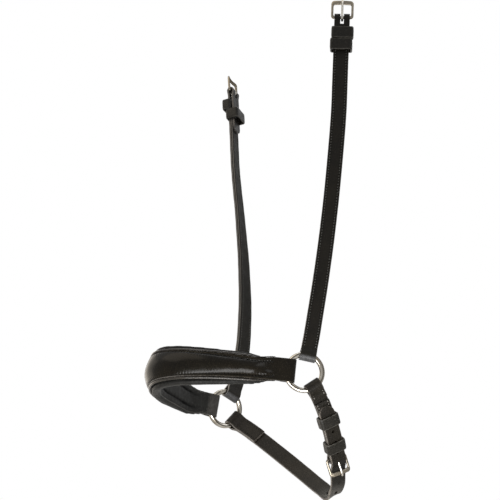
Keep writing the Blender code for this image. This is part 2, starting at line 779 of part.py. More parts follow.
class NoseShape:
    """How wide and deep the nosepiece is at each length along its route."""

    def __init__(self, route):
        self.route = route

    def from_end(self, length):
        """Return the distance to the nearer ring's wire."""
        return min(length, self.route.length - length)

    def share_from(self, start, length):
        """Return the share of the way from a start near the ring to the middle of the front."""
        share = (self.from_end(length) - start) / (self.route.length / 2 - start)
        return min(max(share, 0.0), 1.0)

    def face_half(self, length):
        """Return half the panel's width: a flared end, a waist, and a wide front."""
        flare = 1.0 - ease((self.from_end(length) - FACE_END_STRAIGHT)
                           / (FACE_WAIST_AT - FACE_END_STRAIGHT))
        width = FACE_WAIST_WIDTH + (FACE_END_WIDTH - FACE_WAIST_WIDTH) * flare
        width += (FACE_FRONT_WIDTH - FACE_WAIST_WIDTH) * self.share_from(FACE_WAIST_AT, length)
        return width / 2

    def seam_half(self, length):
        """Return how far from the middle the two seams beside the raised face are."""
        spread = ease(self.share_from(SEAM_SPREAD_AT, length))
        return (SEAM_END_WIDTH + (SEAM_FRONT_WIDTH - SEAM_END_WIDTH) * spread) / 2

    def crown_at(self, length, across):
        """Return how far the raised face stands up, at a distance from the middle."""
        inside = abs(across) / self.seam_half(length)
        if inside >= 1.0:
            return 0.0
        rise = ease((self.from_end(length) - CROWN_START) / CROWN_RISE)
        flatness, fullness = CROWN_POWERS
        return CROWN_HEIGHT * rise * (1.0 - inside**flatness) ** fullness

    def pad_half(self, length):
        spread = self.share_from(PAD_END, length) ** PAD_WIDTH_POWER
        spread *= ease((self.from_end(length) - PAD_END) / PAD_WIDTH_RISE)
        return (PAD_END_WIDTH + (PAD_FRONT_WIDTH - PAD_END_WIDTH) * spread) / 2

    def pad_depth(self, length):
        grow = ease((self.from_end(length) - PAD_END) / PAD_DEPTH_RISE)
        return PAD_END_DEPTH + (PAD_FRONT_DEPTH - PAD_END_DEPTH) * grow

    def pad_outer(self, length):
        """Return the stand-off of the pad's outer face, which clears the turned end."""
        end = self.from_end(length)
        turned = TURN_OFF - FACE_LEATHER / 2 - GAP
        bulge = PAD_END_BULGE * (1.0 - ease((end - PAD_END) / PAD_END_BULGE_LENGTH))
        away = ease((end - FACE_TURN - PAD_PAST_TURN) / PAD_STEP_LENGTH)
        return turned - (PAD_SET_BACK + turned) * away - bulge

    def pad_point(self, length, degrees, inset):
        """Return across and stand-off of a point on the pad's outline.

        The angle is 0 at the top roll, 90 on the side of the nose and 180 at the bottom.
        """
        half = self.pad_half(length) - inset
        depth = self.pad_depth(length) / 2 - inset
        middle = self.pad_outer(length) - self.pad_depth(length) / 2
        turn = math.radians(degrees)
        c, s = math.cos(turn), math.sin(turn)
        power = 2.0 / PAD_SQUARENESS
        across = half * math.copysign(abs(c) ** power, c)
        off = middle - depth * math.copysign(abs(s) ** power, s)
        if s > 0:
            strength = ease((self.from_end(length) - PAD_GROOVE_START) / PAD_GROOVE_RISE)
            groove = PAD_GROOVE_AT * self.pad_half(length)
            near = (abs(across) - groove) / PAD_GROOVE_WIDTH
            off += PAD_GROOVE * strength * math.exp(-near * near)
        return across, off


def make_nosepiece(near, far):
    """Make the padded nosepiece: face, filler, backing, piping, pad and lining."""
    route = nose_route(near, far)
    shape = NoseShape(route)
    length = route.length
    sag = near.sag(FACE_END_WIDTH / 2)
    straight = sag + FOLD_STRAIGHT
    radius = RING_WIRE / 2 + GAP + NOSE_LOOP_PLAY + FACE_LEATHER / 2
    half_pitch = (FACE_OFF - TURN_OFF) / 2

    near_fold = fold(-sag, NOSE_MIDDLE, half_pitch, radius, -1, straight, FACE_FOLD_BLEND)
    far_fold = fold(length + sag, NOSE_MIDDLE, half_pitch, radius, 1, straight, FACE_FOLD_BLEND)
    line = flat_run(FACE_TURN, near_fold[0][0], TURN_OFF, NOSE_STEP)[:-1] + near_fold
    line += flat_run(near_fold[-1][0], far_fold[-1][0], FACE_OFF, NOSE_STEP)[1:-1]
    line += list(reversed(far_fold))
    line += flat_run(far_fold[0][0], length - FACE_TURN, TURN_OFF, NOSE_STEP)[1:]

    def face_lift(at, off, column):
        return shape.crown_at(at, column * shape.face_half(at)) if off > 0.0 else 0.0

    widths = [shape.face_half(at) for at, _ in line]
    strip("nose_face_panel", route, line, widths, FACE_LEATHER, LEATHER, FACE_COLUMNS, face_lift)

    backing_line = flat_run(BACKING_END, length - BACKING_END, -BACKING_LAYER / 2, NOSE_STEP)
    backing_widths = [shape.face_half(at) - BACKING_INSET for at, _ in backing_line]
    strip("nose_backing_strap", route, backing_line, backing_widths, BACKING_LAYER, LEATHER)

    make_filler(route, shape)
    for name, side in (("nose_piping_upper", 1), ("nose_piping_lower", -1)):
        points = []
        fullness = []
        for at in steps_between(PIPING_END, length - PIPING_END, NOSE_STEP):
            grow = ease((shape.from_end(at) - PIPING_END) / PIPING_TAPER)
            full = PIPING_END_SHARE + (1.0 - PIPING_END_SHARE) * grow
            across = shape.face_half(at) + GAP + PIPING_CORD / 2 * full
            points.append(route.place(at, 0.0, side * across))
            fullness.append(full)
        wire(name, points, PIPING_CORD, LEATHER, resolution=1, fullness=fullness)
    make_pad(route, shape)


def loft(name, rings, finish):
    """Make a closed solid from a row of outlines with as many points each."""
    mesh = bpy.data.meshes.new(name)
    body = bmesh.new()
    rows = [[body.verts.new(point) for point in ring] for ring in rings]
    count = len(rows[0])
    for before, after in zip(rows, rows[1:]):
        for j in range(count):
            k = (j + 1) % count
            body.faces.new((before[j], before[k], after[k], after[j]))
    body.faces.new(rows[0])
    body.faces.new(rows[-1])
    bmesh.ops.recalc_face_normals(body, faces=body.faces)
    body.to_mesh(mesh)
    body.free()
    item = object_from(name, mesh, finish)
    smooth_mesh(mesh)
    return item


def make_filler(route, shape):
    """Make the raised filler that crowns the face panel from inside."""
    rings = []
    for at in steps_between(FILLER_END, route.length - FILLER_END, NOSE_STEP):
        half = shape.seam_half(at)
        outline = []
        for column in FILLER_COLUMNS:
            top = max(shape.crown_at(at, column * half) - FILLER_EASE, FILLER_LEAST)
            outline.append(route.place(at, GAP + top, column * half))
        for column in (FILLER_COLUMNS[-1], 0.0, FILLER_COLUMNS[0]):
            outline.append(route.place(at, GAP, column * half))
        rings.append(outline)
    loft("nose_raised_filler", rings, FOAM)


def make_pad(route, shape):
    """Make the soft pad behind the nosepiece, and the leather lining round it."""
    places = steps_between(PAD_END, route.length - PAD_END, NOSE_STEP)
    mesh = bpy.data.meshes.new("nose_pad_lining")
    body = bmesh.new()
    rows = []
    for at in places:
        row = []
        for degrees in PAD_ANGLES:
            across, off = shape.pad_point(at, degrees, PAD_LINING / 2)
            row.append(body.verts.new(route.place(at, off, across)))
        rows.append(row)
    for before, after in zip(rows, rows[1:]):
        for j in range(len(PAD_ANGLES) - 1):
            body.faces.new((before[j], before[j + 1], after[j + 1], after[j]))
    body.to_mesh(mesh)
    body.free()
    item = object_from("nose_pad_lining", mesh, LINING)
    thicken(item, PAD_LINING)
    mesh.shade_smooth()

    rings = []
    for at in steps_between(FOAM_END, route.length - FOAM_END, NOSE_STEP):
        outline = []
        for degrees in (*PAD_ANGLES, *FOAM_BACK_ANGLES):
            across, off = shape.pad_point(at, degrees, PAD_LINING + GAP + FOAM_EASE)
            outline.append(route.place(at, off, across))
        rings.append(outline)
    loft("nose_pad_foam", rings, FOAM)


# Chin strap

CHAPE_PITCH = CHAPE_LAYER + GAP
CHIN_RING_MIDDLE = CHAPE_PITCH / 2
CHIN_ON_CHAPE = CHAPE_PITCH + CHAPE_LAYER / 2 + GAP + CHIN_LAYER / 2
CHIN_FAR_PITCH = CHIN_LAYER + GAP


def chin_route(near, far):
    """Return the route of the chin strap, from the near ring's wire to the far ring's."""
    ring_line = np.array([RING_BACK, 0.0, -RING_DROP])
    middle = [ring_line + np.array(point) * MM for point in CHIN_ROUTE]
    ends = []
    for ring, toward, off in ((near, middle[0], CHIN_RING_MIDDLE),
                              (far, middle[-1], -CHIN_FAR_PITCH / 2)):
        at = CHIN_LOOP_AT[ring.side]
        spot = ring.wire_point(at)
        tangent = ring.tangent(at)
        way = square_to(toward - spot, tangent)
        run = way if ring is near else -way
        out = np.cross(run, tangent)
        sideways = -0.5 * ring.sag(STRAP_WIDTH / 2) * np.dot(ring.radial(at), out)
        start = spot + (sideways - off) * out
        ends.append((start, start + CHIN_END_STRAIGHT * way, tangent))
    (near_start, near_next, near_width), (far_start, far_next, far_width) = ends
    points = [near_start, near_next] + middle[1:-1] + [far_next, far_start]
    near_way = np.array(CHIN_NEAR_WIDTH_WAY)
    far_way = np.array(CHIN_FAR_WIDTH_WAY)
    inner = len(middle) - 2
    widths = [near_width, near_width]
    for i in range(inner):
        turn = ease((i - 2.0) / (inner - 4.0))
        widths.append((1 - turn) * near_way + turn * far_way)
    widths += [far_width, far_width]
    return Route(points, widths, 1)


def make_chin(near, far):
    """Make the chin strap, the chape that carries its buckle, and the keepers."""
    route = chin_route(near, far)
    half = STRAP_WIDTH / 2
    bar_at = CHIN_BAR_AT
    bar_radius = BAR_INNER_RADIUS + CHAPE_LAYER / 2
    ring_radius = RING_WIRE / 2 + GAP + CHIN_LOOP_PLAY + CHAPE_LAYER / 2
    ring_fold = fold(CHIN_LOOP_PLAY - near.sag(half), CHIN_RING_MIDDLE, CHAPE_PITCH / 2,
                     ring_radius, -1, blend=CHIN_RING_BLEND)
    bar_fold = fold(bar_at, CHIN_RING_MIDDLE, CHAPE_PITCH / 2, bar_radius, 1, 0.0,
                    CHIN_FOLD_RISE)
    line = [(CHAPE_RING_TURN, CHAPE_PITCH)] + list(reversed(ring_fold))
    line += flat_run(ring_fold[0][0], bar_fold[0][0], 0.0, CHIN_STEP)[1:-1]
    line += bar_fold
    line += flat_run(bar_fold[-1][0], CHAPE_BUCKLE_TURN_AT, CHAPE_PITCH, CHIN_STEP)[1:]
    chape = strip("chin_chape", route, line, half, CHAPE_LAYER, LEATHER)

    bar_place, way, _, out = route.at(bar_at)
    bar = bar_place + CHIN_RING_MIDDLE * out
    lift = math.radians(CHIN_FRAME_LIFT)
    front_way = math.cos(lift) * way + math.sin(lift) * out
    face_way = -math.sin(lift) * way + math.cos(lift) * out
    buckle = frame_matrix(bar, np.cross(front_way, face_way), front_way, face_way)
    level = frame_matrix(bar, np.cross(way, out), way, out)
    tongue_slot(chape, level)
    buckle_frame("chin_buckle_frame", buckle)
    buckle_tongue("chin_buckle_tongue", buckle)

    make_chin_strap(route, far, bar_radius)
    room = half + CHIN_KEEPER_PLAY
    low = -CHAPE_LAYER / 2 - 2 * GAP
    high = CHIN_ON_CHAPE + CHIN_LAYER / 2 + 2 * GAP
    fixed_at = bar_at - CHIN_FIXED_BELOW_BAR - CHIN_KEEPER_HEIGHT
    for name, at in (("chin_runner_keeper", CHIN_RUNNER_AT), ("chin_fixed_keeper", fixed_at)):
        keeper(name, route, at, CHIN_KEEPER_HEIGHT, -room, room, low, high)


def make_chin_strap(route, far, bar_radius):
    """Make the chin strap: from its tip in the keepers to its turned end on the far ring."""
    half = STRAP_WIDTH / 2
    bar_top = CHIN_RING_MIDDLE + bar_radius + CHAPE_LAYER / 2 + GAP + CHIN_LAYER / 2
    lift = math.radians(CHIN_FRAME_LIFT)
    front_at = CHIN_BAR_AT + FRONT_BAR_MIDDLE * math.cos(lift)
    front_bar = CHIN_RING_MIDDLE + FRONT_BAR_MIDDLE * math.sin(lift)
    under_front = front_bar - BUCKLE_THICKNESS / 2 - 2 * GAP - CHIN_LAYER / 2
    under_front -= BUCKLE_FRONT_BAR / 2 * math.sin(lift)
    settle = CHIN_BAR_AT - CHIN_FOLD_RISE

    def stand_off(at):
        if at <= settle:
            return CHIN_ON_CHAPE
        if at <= CHIN_BAR_AT:
            rise = ease((at - settle) / (CHIN_BAR_AT - settle))
            return CHIN_ON_CHAPE + (bar_top - CHIN_ON_CHAPE) * rise
        if at <= front_at:
            fall = ease((at - CHIN_BAR_AT) / (front_at - CHIN_BAR_AT))
            return bar_top + (under_front - bar_top) * fall
        return under_front * (1.0 - ease((at - front_at) / (CHIN_FREE_AT - front_at)))

    loop_radius = RING_WIRE / 2 + GAP + CHIN_LOOP_PLAY + CHIN_LAYER / 2
    far_fold = fold(route.length + far.sag(half) - CHIN_LOOP_PLAY, -CHIN_FAR_PITCH / 2,
                    CHIN_FAR_PITCH / 2, loop_radius, 1)
    tip_line = [CHIN_TIP_AT + half * (1 - math.cos(math.radians(t))) for t in TIP_ANGLES]
    places = tip_line + [CHIN_TIP_AT + half]
    places += steps_between(CHIN_TIP_AT + half, settle, CHIN_STEP)[1:]
    places += [CHIN_BAR_AT - CHIN_FOLD_RISE * step for step in FOLD_RISE_STEPS[1:]]
    places += steps_between(CHIN_BAR_AT, CHIN_TURN_END, CHIN_STEP / 2)
    places += steps_between(CHIN_TURN_END, far_fold[-1][0], CHIN_STEP)[1:-1]
    line = [(at, stand_off(at)) for at in places]
    line += list(reversed(far_fold))
    line += flat_run(far_fold[0][0], route.length - CHIN_FAR_TURN, -CHIN_FAR_PITCH, CHIN_STEP)[1:]
    widths = [half * math.sin(math.radians(t)) for t in TIP_ANGLES]
    widths += [half] * (len(line) - len(TIP_ANGLES))
    strap = strip("chin_strap", route, line, widths, CHIN_LAYER, LEATHER)

    mesh = bpy.data.meshes.new("chin_strap_holes")
    body = bmesh.new()
    for number in range(-HOLES_BEFORE, HOLES_AFTER + 1):
        at = CHIN_BAR_AT + USED_HOLE_PAST_BAR + number * HOLE_SPACING
        _, way, width, out = route.at(at)
        slope = (stand_off(at + MM) - stand_off(at - MM)) / (2 * MM)
        way = unit(way + slope * out)
        place = frame_matrix(route.place(at, stand_off(at)), width, way, np.cross(width, way))
        drill = bmesh.ops.create_cone(
            body, cap_ends=True, segments=10, radius1=HOLE_ROUND / 2, radius2=HOLE_ROUND / 2,
            depth=3 * CHIN_LAYER)
        stretch = HOLE_STRETCH / HOLE_ROUND if number == 0 else 1.0
        bmesh.ops.scale(body, vec=(1.0, stretch, 1.0), verts=drill["verts"])
        bmesh.ops.transform(body, matrix=place, verts=drill["verts"])
    bmesh.ops.recalc_face_normals(body, faces=body.faces)
    body.to_mesh(mesh)
    body.free()
    cut(strap, object_from("chin_strap_holes", mesh, group=CUTTERS))


def build():
    """Build the whole noseband."""
    clear_scene()
    near = Ring(NEAR)
    far = Ring(FAR)
    for ring in (near, far):
        make_ring(ring)
        make_cheek(ring)
    make_nosepiece(near, far)
    make_chin(near, far)


build()
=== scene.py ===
"""The look of the noseband: fine leather, stitching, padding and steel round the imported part."""

import math

import bmesh
import bpy
import numpy as np
from mathutils import Matrix, Vector


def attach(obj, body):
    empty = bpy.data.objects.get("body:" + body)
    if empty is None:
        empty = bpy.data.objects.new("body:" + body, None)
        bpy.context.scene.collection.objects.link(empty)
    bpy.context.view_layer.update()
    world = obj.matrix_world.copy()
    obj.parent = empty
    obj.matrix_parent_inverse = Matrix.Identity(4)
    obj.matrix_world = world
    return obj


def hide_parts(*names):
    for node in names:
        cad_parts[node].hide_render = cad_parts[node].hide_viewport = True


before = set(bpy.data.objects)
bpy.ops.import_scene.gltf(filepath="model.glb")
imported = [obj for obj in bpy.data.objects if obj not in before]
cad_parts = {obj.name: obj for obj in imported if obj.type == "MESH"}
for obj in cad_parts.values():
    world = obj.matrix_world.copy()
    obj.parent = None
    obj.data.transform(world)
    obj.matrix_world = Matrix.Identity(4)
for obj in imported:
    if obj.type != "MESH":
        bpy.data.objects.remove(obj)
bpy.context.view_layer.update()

MM = 0.001
NEAR = -1
FAR = 1
SIDE_NAME = {NEAR: "near", FAR: "far"}
UP = np.array([0.0, 0.0, 1.0])

# Sizes of the part
GAP = 0.3 * MM
KEEPER_SIDE_PLAY = 1.5 * MM
CHIN_KEEPER_PLAY = 0.6 * MM
NOSE_LOOP_PLAY = 0.5 * MM
CHEEK_LOOP_PLAY = 0.6 * MM
CHIN_LOOP_PLAY = 0.9 * MM
RING_BORE = 30.6 * MM
RING_WIRE = 5.2 * MM
RING_SPACING = 161.0 * MM
RING_DROP = 5.0 * MM
RING_YAW = {NEAR: 24.0, FAR: 1.0}
RING_LEAN = {NEAR: -9.8, FAR: 9.8}
STRAP_WIDTH = 16.0 * MM
STRAP_LAYER = 2.0 * MM
LINING_LAYER = 2.0 * MM
CHEEK_RISE = 379.6 * MM
CHEEK_FLARE = {NEAR: 34.0 * MM, FAR: 40.0 * MM}
CHEEK_SLOPE_BACK = 29.0 * MM
CHEEK_BOW_BACK = 12.5 * MM
CHEEK_BOW_IN = 6.6 * MM
CHEEK_BOW_SHAPE = {NEAR: (1.0, 1.0), FAR: (0.8, 2.0)}
CHEEK_LOOP_AT = {NEAR: 79.0, FAR: 68.0}
CHEEK_TOP_YAW = {NEAR: 33.0, FAR: 38.0}
CHEEK_RING_TURN = 22.0 * MM
CHEEK_TOP_TURN = 52.0 * MM
SEAT_LENGTH = 44.0 * MM
SEAT_BELOW_BUCKLE = 40.0 * MM
KEEPER_LEATHER = 1.6 * MM
KEEPER_HEIGHT = 12.0 * MM
KEEPER_BELOW_BAR = 12.0 * MM
KEEPER_SPACING = 0.6 * MM
FIXED_KEEPER_SHIFT = {NEAR: 1.0 * MM, FAR: 0.0}
BILLET_ROOM = 4.6 * MM
CHIN_RUNNER_AT = 32.0 * MM
CHIN_FIXED_BELOW_BAR = 9.5 * MM
BUCKLE_INSIDE_WIDTH = 18.6 * MM
BUCKLE_SIDE_BAR = 2.4 * MM
BUCKLE_REAR_BAR = 3.0 * MM
BUCKLE_FRONT_BAR = 4.4 * MM
BUCKLE_WINDOW = 11.9 * MM
BUCKLE_THICKNESS = 2.4 * MM
BUCKLE_BOW = 1.6 * MM
BUCKLE_CORNER = 3.2 * MM
BAR_PLAY = 0.35 * MM
TONGUE_WIRE = 2.2 * MM
TONGUE_SLOT_PLAY = 0.8 * MM
TONGUE_OVERHANG = 1.6 * MM
NOSE_DEPTH = 125.0 * MM
NOSE_HALF_WIDTH = 77.0 * MM
NOSE_SHAPE = 1.7
NOSE_LOOP_AT = 175.0
NOSE_END_YAW = {NEAR: 15.0, FAR: 6.0}
NOSE_END_STRAIGHT = 10.0 * MM
NOSE_SHARES = (0.36, 0.5, 0.65, 0.8, 0.92, 1.0)
NOSE_SPREAD_SHARE = 0.75
FRONT_TILT = -2.0
FRONT_RISE = 2.2 * MM
FRONT_RISE_POWER = 8
FACE_LEATHER = 1.8 * MM
FACE_END_WIDTH = 22.8 * MM
FACE_WAIST_WIDTH = 20.4 * MM
FACE_FRONT_WIDTH = 28.4 * MM
FACE_END_STRAIGHT = 12.0 * MM
FACE_WAIST_AT = 30.0 * MM
FACE_TURN = 20.0 * MM
FACE_FOLD_BLEND = 7.0 * MM
SEAM_END_WIDTH = 14.4 * MM
SEAM_FRONT_WIDTH = 26.0 * MM
SEAM_SPREAD_AT = 25.0 * MM
CROWN_HEIGHT = 3.8 * MM
CROWN_START = 15.0 * MM
CROWN_RISE = 24.0 * MM
CROWN_POWERS = (1.8, 1.0)
BACKING_LAYER = 2.0 * MM
BACKING_INSET = 0.4 * MM
BACKING_END = 8.5 * MM
PIPING_CORD = 2.6 * MM
PIPING_END = 12.0 * MM
PIPING_END_SHARE = 0.3
PIPING_TAPER = 32.0 * MM
PAD_FRONT_WIDTH = 43.0 * MM
PAD_END_WIDTH = 22.6 * MM
PAD_FRONT_DEPTH = 9.5 * MM
PAD_END_DEPTH = 3.6 * MM
PAD_END = 6.5 * MM
PAD_WIDTH_POWER = 0.55
PAD_WIDTH_RISE = 32.0 * MM
PAD_DEPTH_RISE = 80.0 * MM
PAD_SQUARENESS = 2.7
PAD_END_BULGE = 0.7 * MM
PAD_END_BULGE_LENGTH = 5.0 * MM
PAD_PAST_TURN = 2.0 * MM
PAD_STEP_LENGTH = 14.0 * MM
PAD_GROOVE = 1.4 * MM
PAD_GROOVE_WIDTH = 2.2 * MM
PAD_GROOVE_AT = 0.46
PAD_GROOVE_START = 14.0 * MM
PAD_GROOVE_RISE = 40.0 * MM
PAD_SET_BACK = BACKING_LAYER + GAP
RING_BACK = NOSE_DEPTH - PAD_SET_BACK - PAD_FRONT_DEPTH
CHIN_LOOP_AT = {NEAR: -56.0, FAR: -40.0}
CHIN_ROUTE = [
    (21.3, -77.0, -27.7), (37.2, -66.0, -46.7), (52.5, -51.0, -66.2),
    (64.0, -36.2, -84.4), (70.8, -27.2, -96.2), (71.2, -16.4, -103.8),
    (67.9, -2.0, -94.3), (59.9, 20.0, -75.4), (47.3, 41.0, -54.4),
    (31.9, 62.0, -32.2),
]
CHIN_NEAR_WIDTH_WAY = (0.85, -0.23, 0.43)
CHIN_FAR_WIDTH_WAY = (0.69, -0.26, 0.67)
CHAPE_LAYER = 2.2 * MM
CHIN_LAYER = 2.6 * MM
CHIN_BAR_AT = 82.5 * MM
CHIN_FOLD_RISE = 8.0 * MM
CHIN_TIP_AT = 21.5 * MM
CHAPE_RING_TURN = 13.0 * MM
CHAPE_BUCKLE_TURN_AT = 17.0 * MM
CHIN_FRAME_LIFT = 23.0
CHIN_FAR_TURN = 34.0 * MM
CHIN_FREE_AT = 116.0 * MM
HOLE_ROUND = 4.0 * MM
HOLE_SPACING = 12.5 * MM
HOLE_STRETCH = 9.6 * MM
HOLES_BEFORE = 3
HOLES_AFTER = 4

# Fineness and finish
FOLD_STEPS = 20
FOLD_RISE = [1.0 - 0.075 * i for i in range(13)]
FINE_STEP = 2.5 * MM
EDGE_ROUND = 0.5 * MM
PANEL_STEP = 0.75 * MM
EDGE_WEAR = 1.1 * MM
KEEPER_BULGE = 0.5 * MM
CHIN_BEND_AT = 128.0 * MM
CHIN_BEND_LENGTH = 11.0 * MM
STITCH_PITCH = 3.0 * MM
STITCH_LENGTH = 1.9 * MM
THREAD = 0.85 * MM
THREAD_SUNK = 0.35 * MM
STRAP_SEAM = 0.70
FACE_SEAM_START = 14.0 * MM
FACE_GROOVE = 0.45 * MM
FACE_GROOVE_WIDTH = 0.8 * MM
BULGE_AT = 21.0 * MM
BULGE_LENGTH = 5.5 * MM
BULGE_OFF_SEAM = 2.4 * MM
BULGE_WIDTH = 2.3 * MM
BULGE_HEIGHT = 1.2 * MM
STITCH_PIT = 0.6 * MM
STITCH_PIT_WIDTH = 1.0 * MM
RING_SIDES = 64
# Painted dark reflections on the rings: a line along the wire and two darker sectors.
REFLECTION_LINE_AT = 77.0
REFLECTION_LINE_DRIFT = 15.0
REFLECTION_LINE_WIDTH = 17.0
DARK_REFLECTION_SECTORS = ((45.0, 52.0), (232.0, 24.0))
PAD_INSET = -0.25 * MM
SWELL_CAP = 0.40 * MM
WELT_ANGLE = 38.0
WELT_ROUND = 0.9 * MM
ROUTE_SAMPLES = 24
PIPING_STEP = 2.0 * MM
PIPING_DOME = 2.0 * MM
CHIN_STEP = 1.6 * MM
CHIN_EDGE_ROUND = 0.6 * MM
KEEPER_CORNER = 1.2 * MM
KEEPER_WARP = 0.16 * MM
FAR_RUNNER_ROOM = 0.8 * MM
CHEEK_FOLD_RISE = 7.0 * MM
CHEEK_SEAM_START = 8.0 * MM
CHEEK_SEAM_SHORT = 10.0 * MM
CHAPE_SEAM_START = 2.5 * MM
CHAPE_SEAM_END = 72.0 * MM
CHIN_SEAM_SHORT = 9.0 * MM
PAD_SEAM_START = 22.0 * MM
HOLE_PAST_BAR = 4.2 * MM
TONGUE_SLOT = 14.5 * MM
CHIN_TONGUE_SLOT = 12.0 * MM
SLOT_PAST_BAR = 7.0 * MM
SLOT_CUT_DEPTH = 18.0 * MM
BAR_ROUNDING = 0.2 * MM
TIP_DIP = 0.7 * MM
TONGUE_STEP = 0.6 * MM
TONGUE_DOME = 0.9 * MM
STITCH_SLANT = 0.12 * MM
STITCH_FORM = ((-0.5, 0.35, -0.30), (-0.32, 0.85, 0.02), (0.0, 1.0, 0.16), (0.32, 0.85, 0.02),
               (0.5, 0.35, -0.30))
STRAP_GROOVE = 0.12 * MM
STRAP_GROOVE_WIDTH = 0.5 * MM
STRAP_PIT = 0.2 * MM
TURN_BLEND = (1.0 * MM, 1.5 * MM)
FACE_GROOVE_EARLY = 2.0 * MM
FACE_GROOVE_RISE = 7.0 * MM
PUCKER = 0.10 * MM
PUCKER_OFF_SEAM = 1.8 * MM
PUCKER_WIDTH = 1.3 * MM
PULL_AT = 30.0 * MM
PULL_LENGTH = 16.0 * MM
PULL_HEIGHT = 0.25 * MM
PAD_SIDES = 72
PAD_DOMES = (0.35, 0.7, 0.9)
PAD_THREAD_LIFT = 0.1 * MM
CREASE_WIDTH = 5.0 * MM
CREASE_HEIGHT = 0.14 * MM
ROLL_START = 40.0 * MM
ROLL_RISE = 50.0 * MM
ROLL_BLEND = 2.0 * MM
ROLL_HEIGHT = 1.6 * MM
CLOTH_CELL = 1.7 * MM
CLOTH_PRESSURE = 4.0
CLOTH_FRAMES = 20
RING_STEP = 2.5
WELD_AT = 118.0
WELD_WIDTH = 5.0
WELD_HEIGHT = 0.10 * MM
# Where the painted dark reflection line lies lowest on the ring.
REFLECTION_LINE_LOW = 225.0


# Vectors and routes, as in the part

def unit(vector):
    vector = np.asarray(vector, float)
    return vector / np.linalg.norm(vector)


def square_to(vector, axis):
    return unit(vector - np.dot(vector, axis) * axis)


def ease(value):
    value = min(max(value, 0.0), 1.0)
    return value * value * (3.0 - 2.0 * value)


def bell(value, width):
    """Return 1 at zero, falling smoothly to nothing past a few widths."""
    return math.exp(-(value / width) ** 2)


def squared(turn, power):
    """Return the two coordinates of a rounded square's outline at an angle."""
    return [math.copysign(abs(share) ** (2.0 / power), share)
            for share in (math.cos(turn), math.sin(turn))]


def circle(centre, first, second, sides):
    """Return the points of a circle whose two half axes are given as vectors."""
    turns = [2 * math.pi * k / sides for k in range(sides)]
    return [centre + math.cos(t) * first + math.sin(t) * second for t in turns]


def nothing(*_):
    return 0.0


def given(value, at):
    """Return a value that may depend on the length along a route."""
    return value(at) if callable(value) else value


def steps_between(start, end, pitch=FINE_STEP):
    """Return evenly spaced lengths from start to end, about a pitch apart."""
    count = max(int(round(abs(end - start) / pitch)), 1)
    return [start + (end - start) * i / count for i in range(count + 1)]


def frame_matrix(origin, x_way, y_way, z_way):
    rows = np.transpose([x_way, y_way, z_way, origin]).tolist()
    return Matrix([*rows, (0.0, 0.0, 0.0, 1.0)])


class Route:
    """A smooth line with a width direction; places are lengths along and stand-offs."""

    def __init__(self, points, widths, outward_sign):
        points = np.array(points, float)
        widths = [unit(width) for width in widths]
        knots = np.r_[0.0, np.cumsum(np.linalg.norm(np.diff(points, axis=0), axis=1))]
        slopes = np.gradient(points, knots, axis=0)
        slopes[0], slopes[-1] = unit(points[1] - points[0]), unit(points[-1] - points[-2])
        line, across = [], []
        for i in range(len(points) - 1):
            span = knots[i + 1] - knots[i]
            last = i == len(points) - 2
            for t in np.arange(ROUTE_SAMPLES + last) / ROUTE_SAMPLES:
                line.append((2 * t**3 - 3 * t**2 + 1) * points[i]
                            + (t**3 - 2 * t**2 + t) * span * slopes[i]
                            + (3 * t**2 - 2 * t**3) * points[i + 1]
                            + (t**3 - t**2) * span * slopes[i + 1])
                across.append((1 - t) * widths[i] + t * widths[i + 1])
        line = np.array(line)
        self.along = np.r_[0.0, np.cumsum(np.linalg.norm(np.diff(line, axis=0), axis=1))]
        self.columns = np.hstack([line, np.gradient(line, self.along, axis=0), across]).T.copy()
        self.length = self.along[-1]
        self.sign = outward_sign

    def at(self, length):
        inside = min(max(length, 0.0), self.length)
        values = np.array([np.interp(inside, self.along, column) for column in self.columns])
        way = unit(values[3:6])
        width = square_to(values[6:], way)
        return values[:3] + (length - inside) * way, way, width, self.sign * np.cross(way, width)

    def place(self, length, off=0.0, across=0.0):
        place, _, width, out = self.at(length)
        return place + off * out + across * width


def fold(centre, middle, half_gap, radius, crest, straight=1.0 * MM, blend=8.5 * MM):
    """Return the line of a strap that turns round a wire or a bar, inner to outer layer."""
    side = [(centre - crest * (straight + blend * step),
             half_gap + (radius - half_gap) * (1.0 - ease(step))) for step in FOLD_RISE]
    if straight:
        side.append((centre - crest * straight, radius))
    turns = [math.pi * i / FOLD_STEPS for i in range(FOLD_STEPS + 1)]
    turn = [(centre + crest * radius * math.sin(t), middle - radius * math.cos(t)) for t in turns]
    return [(a, middle - q) for a, q in side] + turn + [(a, middle + q) for a, q in reversed(side)]


def flat_run(start, end, off):
    return [(a, off) for a in steps_between(start, end)]


# Materials

class Nodes:
    """A node tree that is written one call at a time."""

    def __init__(self, tree):
        self.tree = tree

    def give(self, socket, value):
        """Link a socket to an output, or set it to a plain value."""
        if isinstance(value, bpy.types.NodeSocket):
            self.tree.links.new(value, socket)
        else:
            socket.default_value = (*value, 1.0) if socket.type == "RGBA" else value

    def add(self, kind, sockets=None, **settings):
        """Add a node with its settings and sockets, and return its outputs."""
        node = self.tree.nodes.new("ShaderNode" + kind)
        for key, value in settings.items():
            setattr(node, key, value)
        for key, value in (sockets or {}).items():
            self.give(node.inputs[key], value)
        return node.outputs

    def math(self, operation, first, second):
        return self.add("Math", {0: first, 1: second}, operation=operation)[0]

    def span(self, value, low, high, from_low=0.0, from_high=1.0):
        return self.add("MapRange", {"Value": value, "From Min": from_low, "From Max": from_high,
                                     "To Min": low, "To Max": high})["Result"]

    def mix(self, factor, first, second):
        sockets = {"Factor": factor, "A": first, "B": second}
        return self.add("Mix", sockets, data_type="RGBA")["Result"]

    def blotch(self, pattern, low, high, first, second):
        """Mix two colours where a pattern rises from low to high."""
        return self.mix(self.span(pattern, 0.0, 1.0, low, high), first, second)

    def attribute(self, name):
        return self.add("Attribute", attribute_name=name)["Fac"]


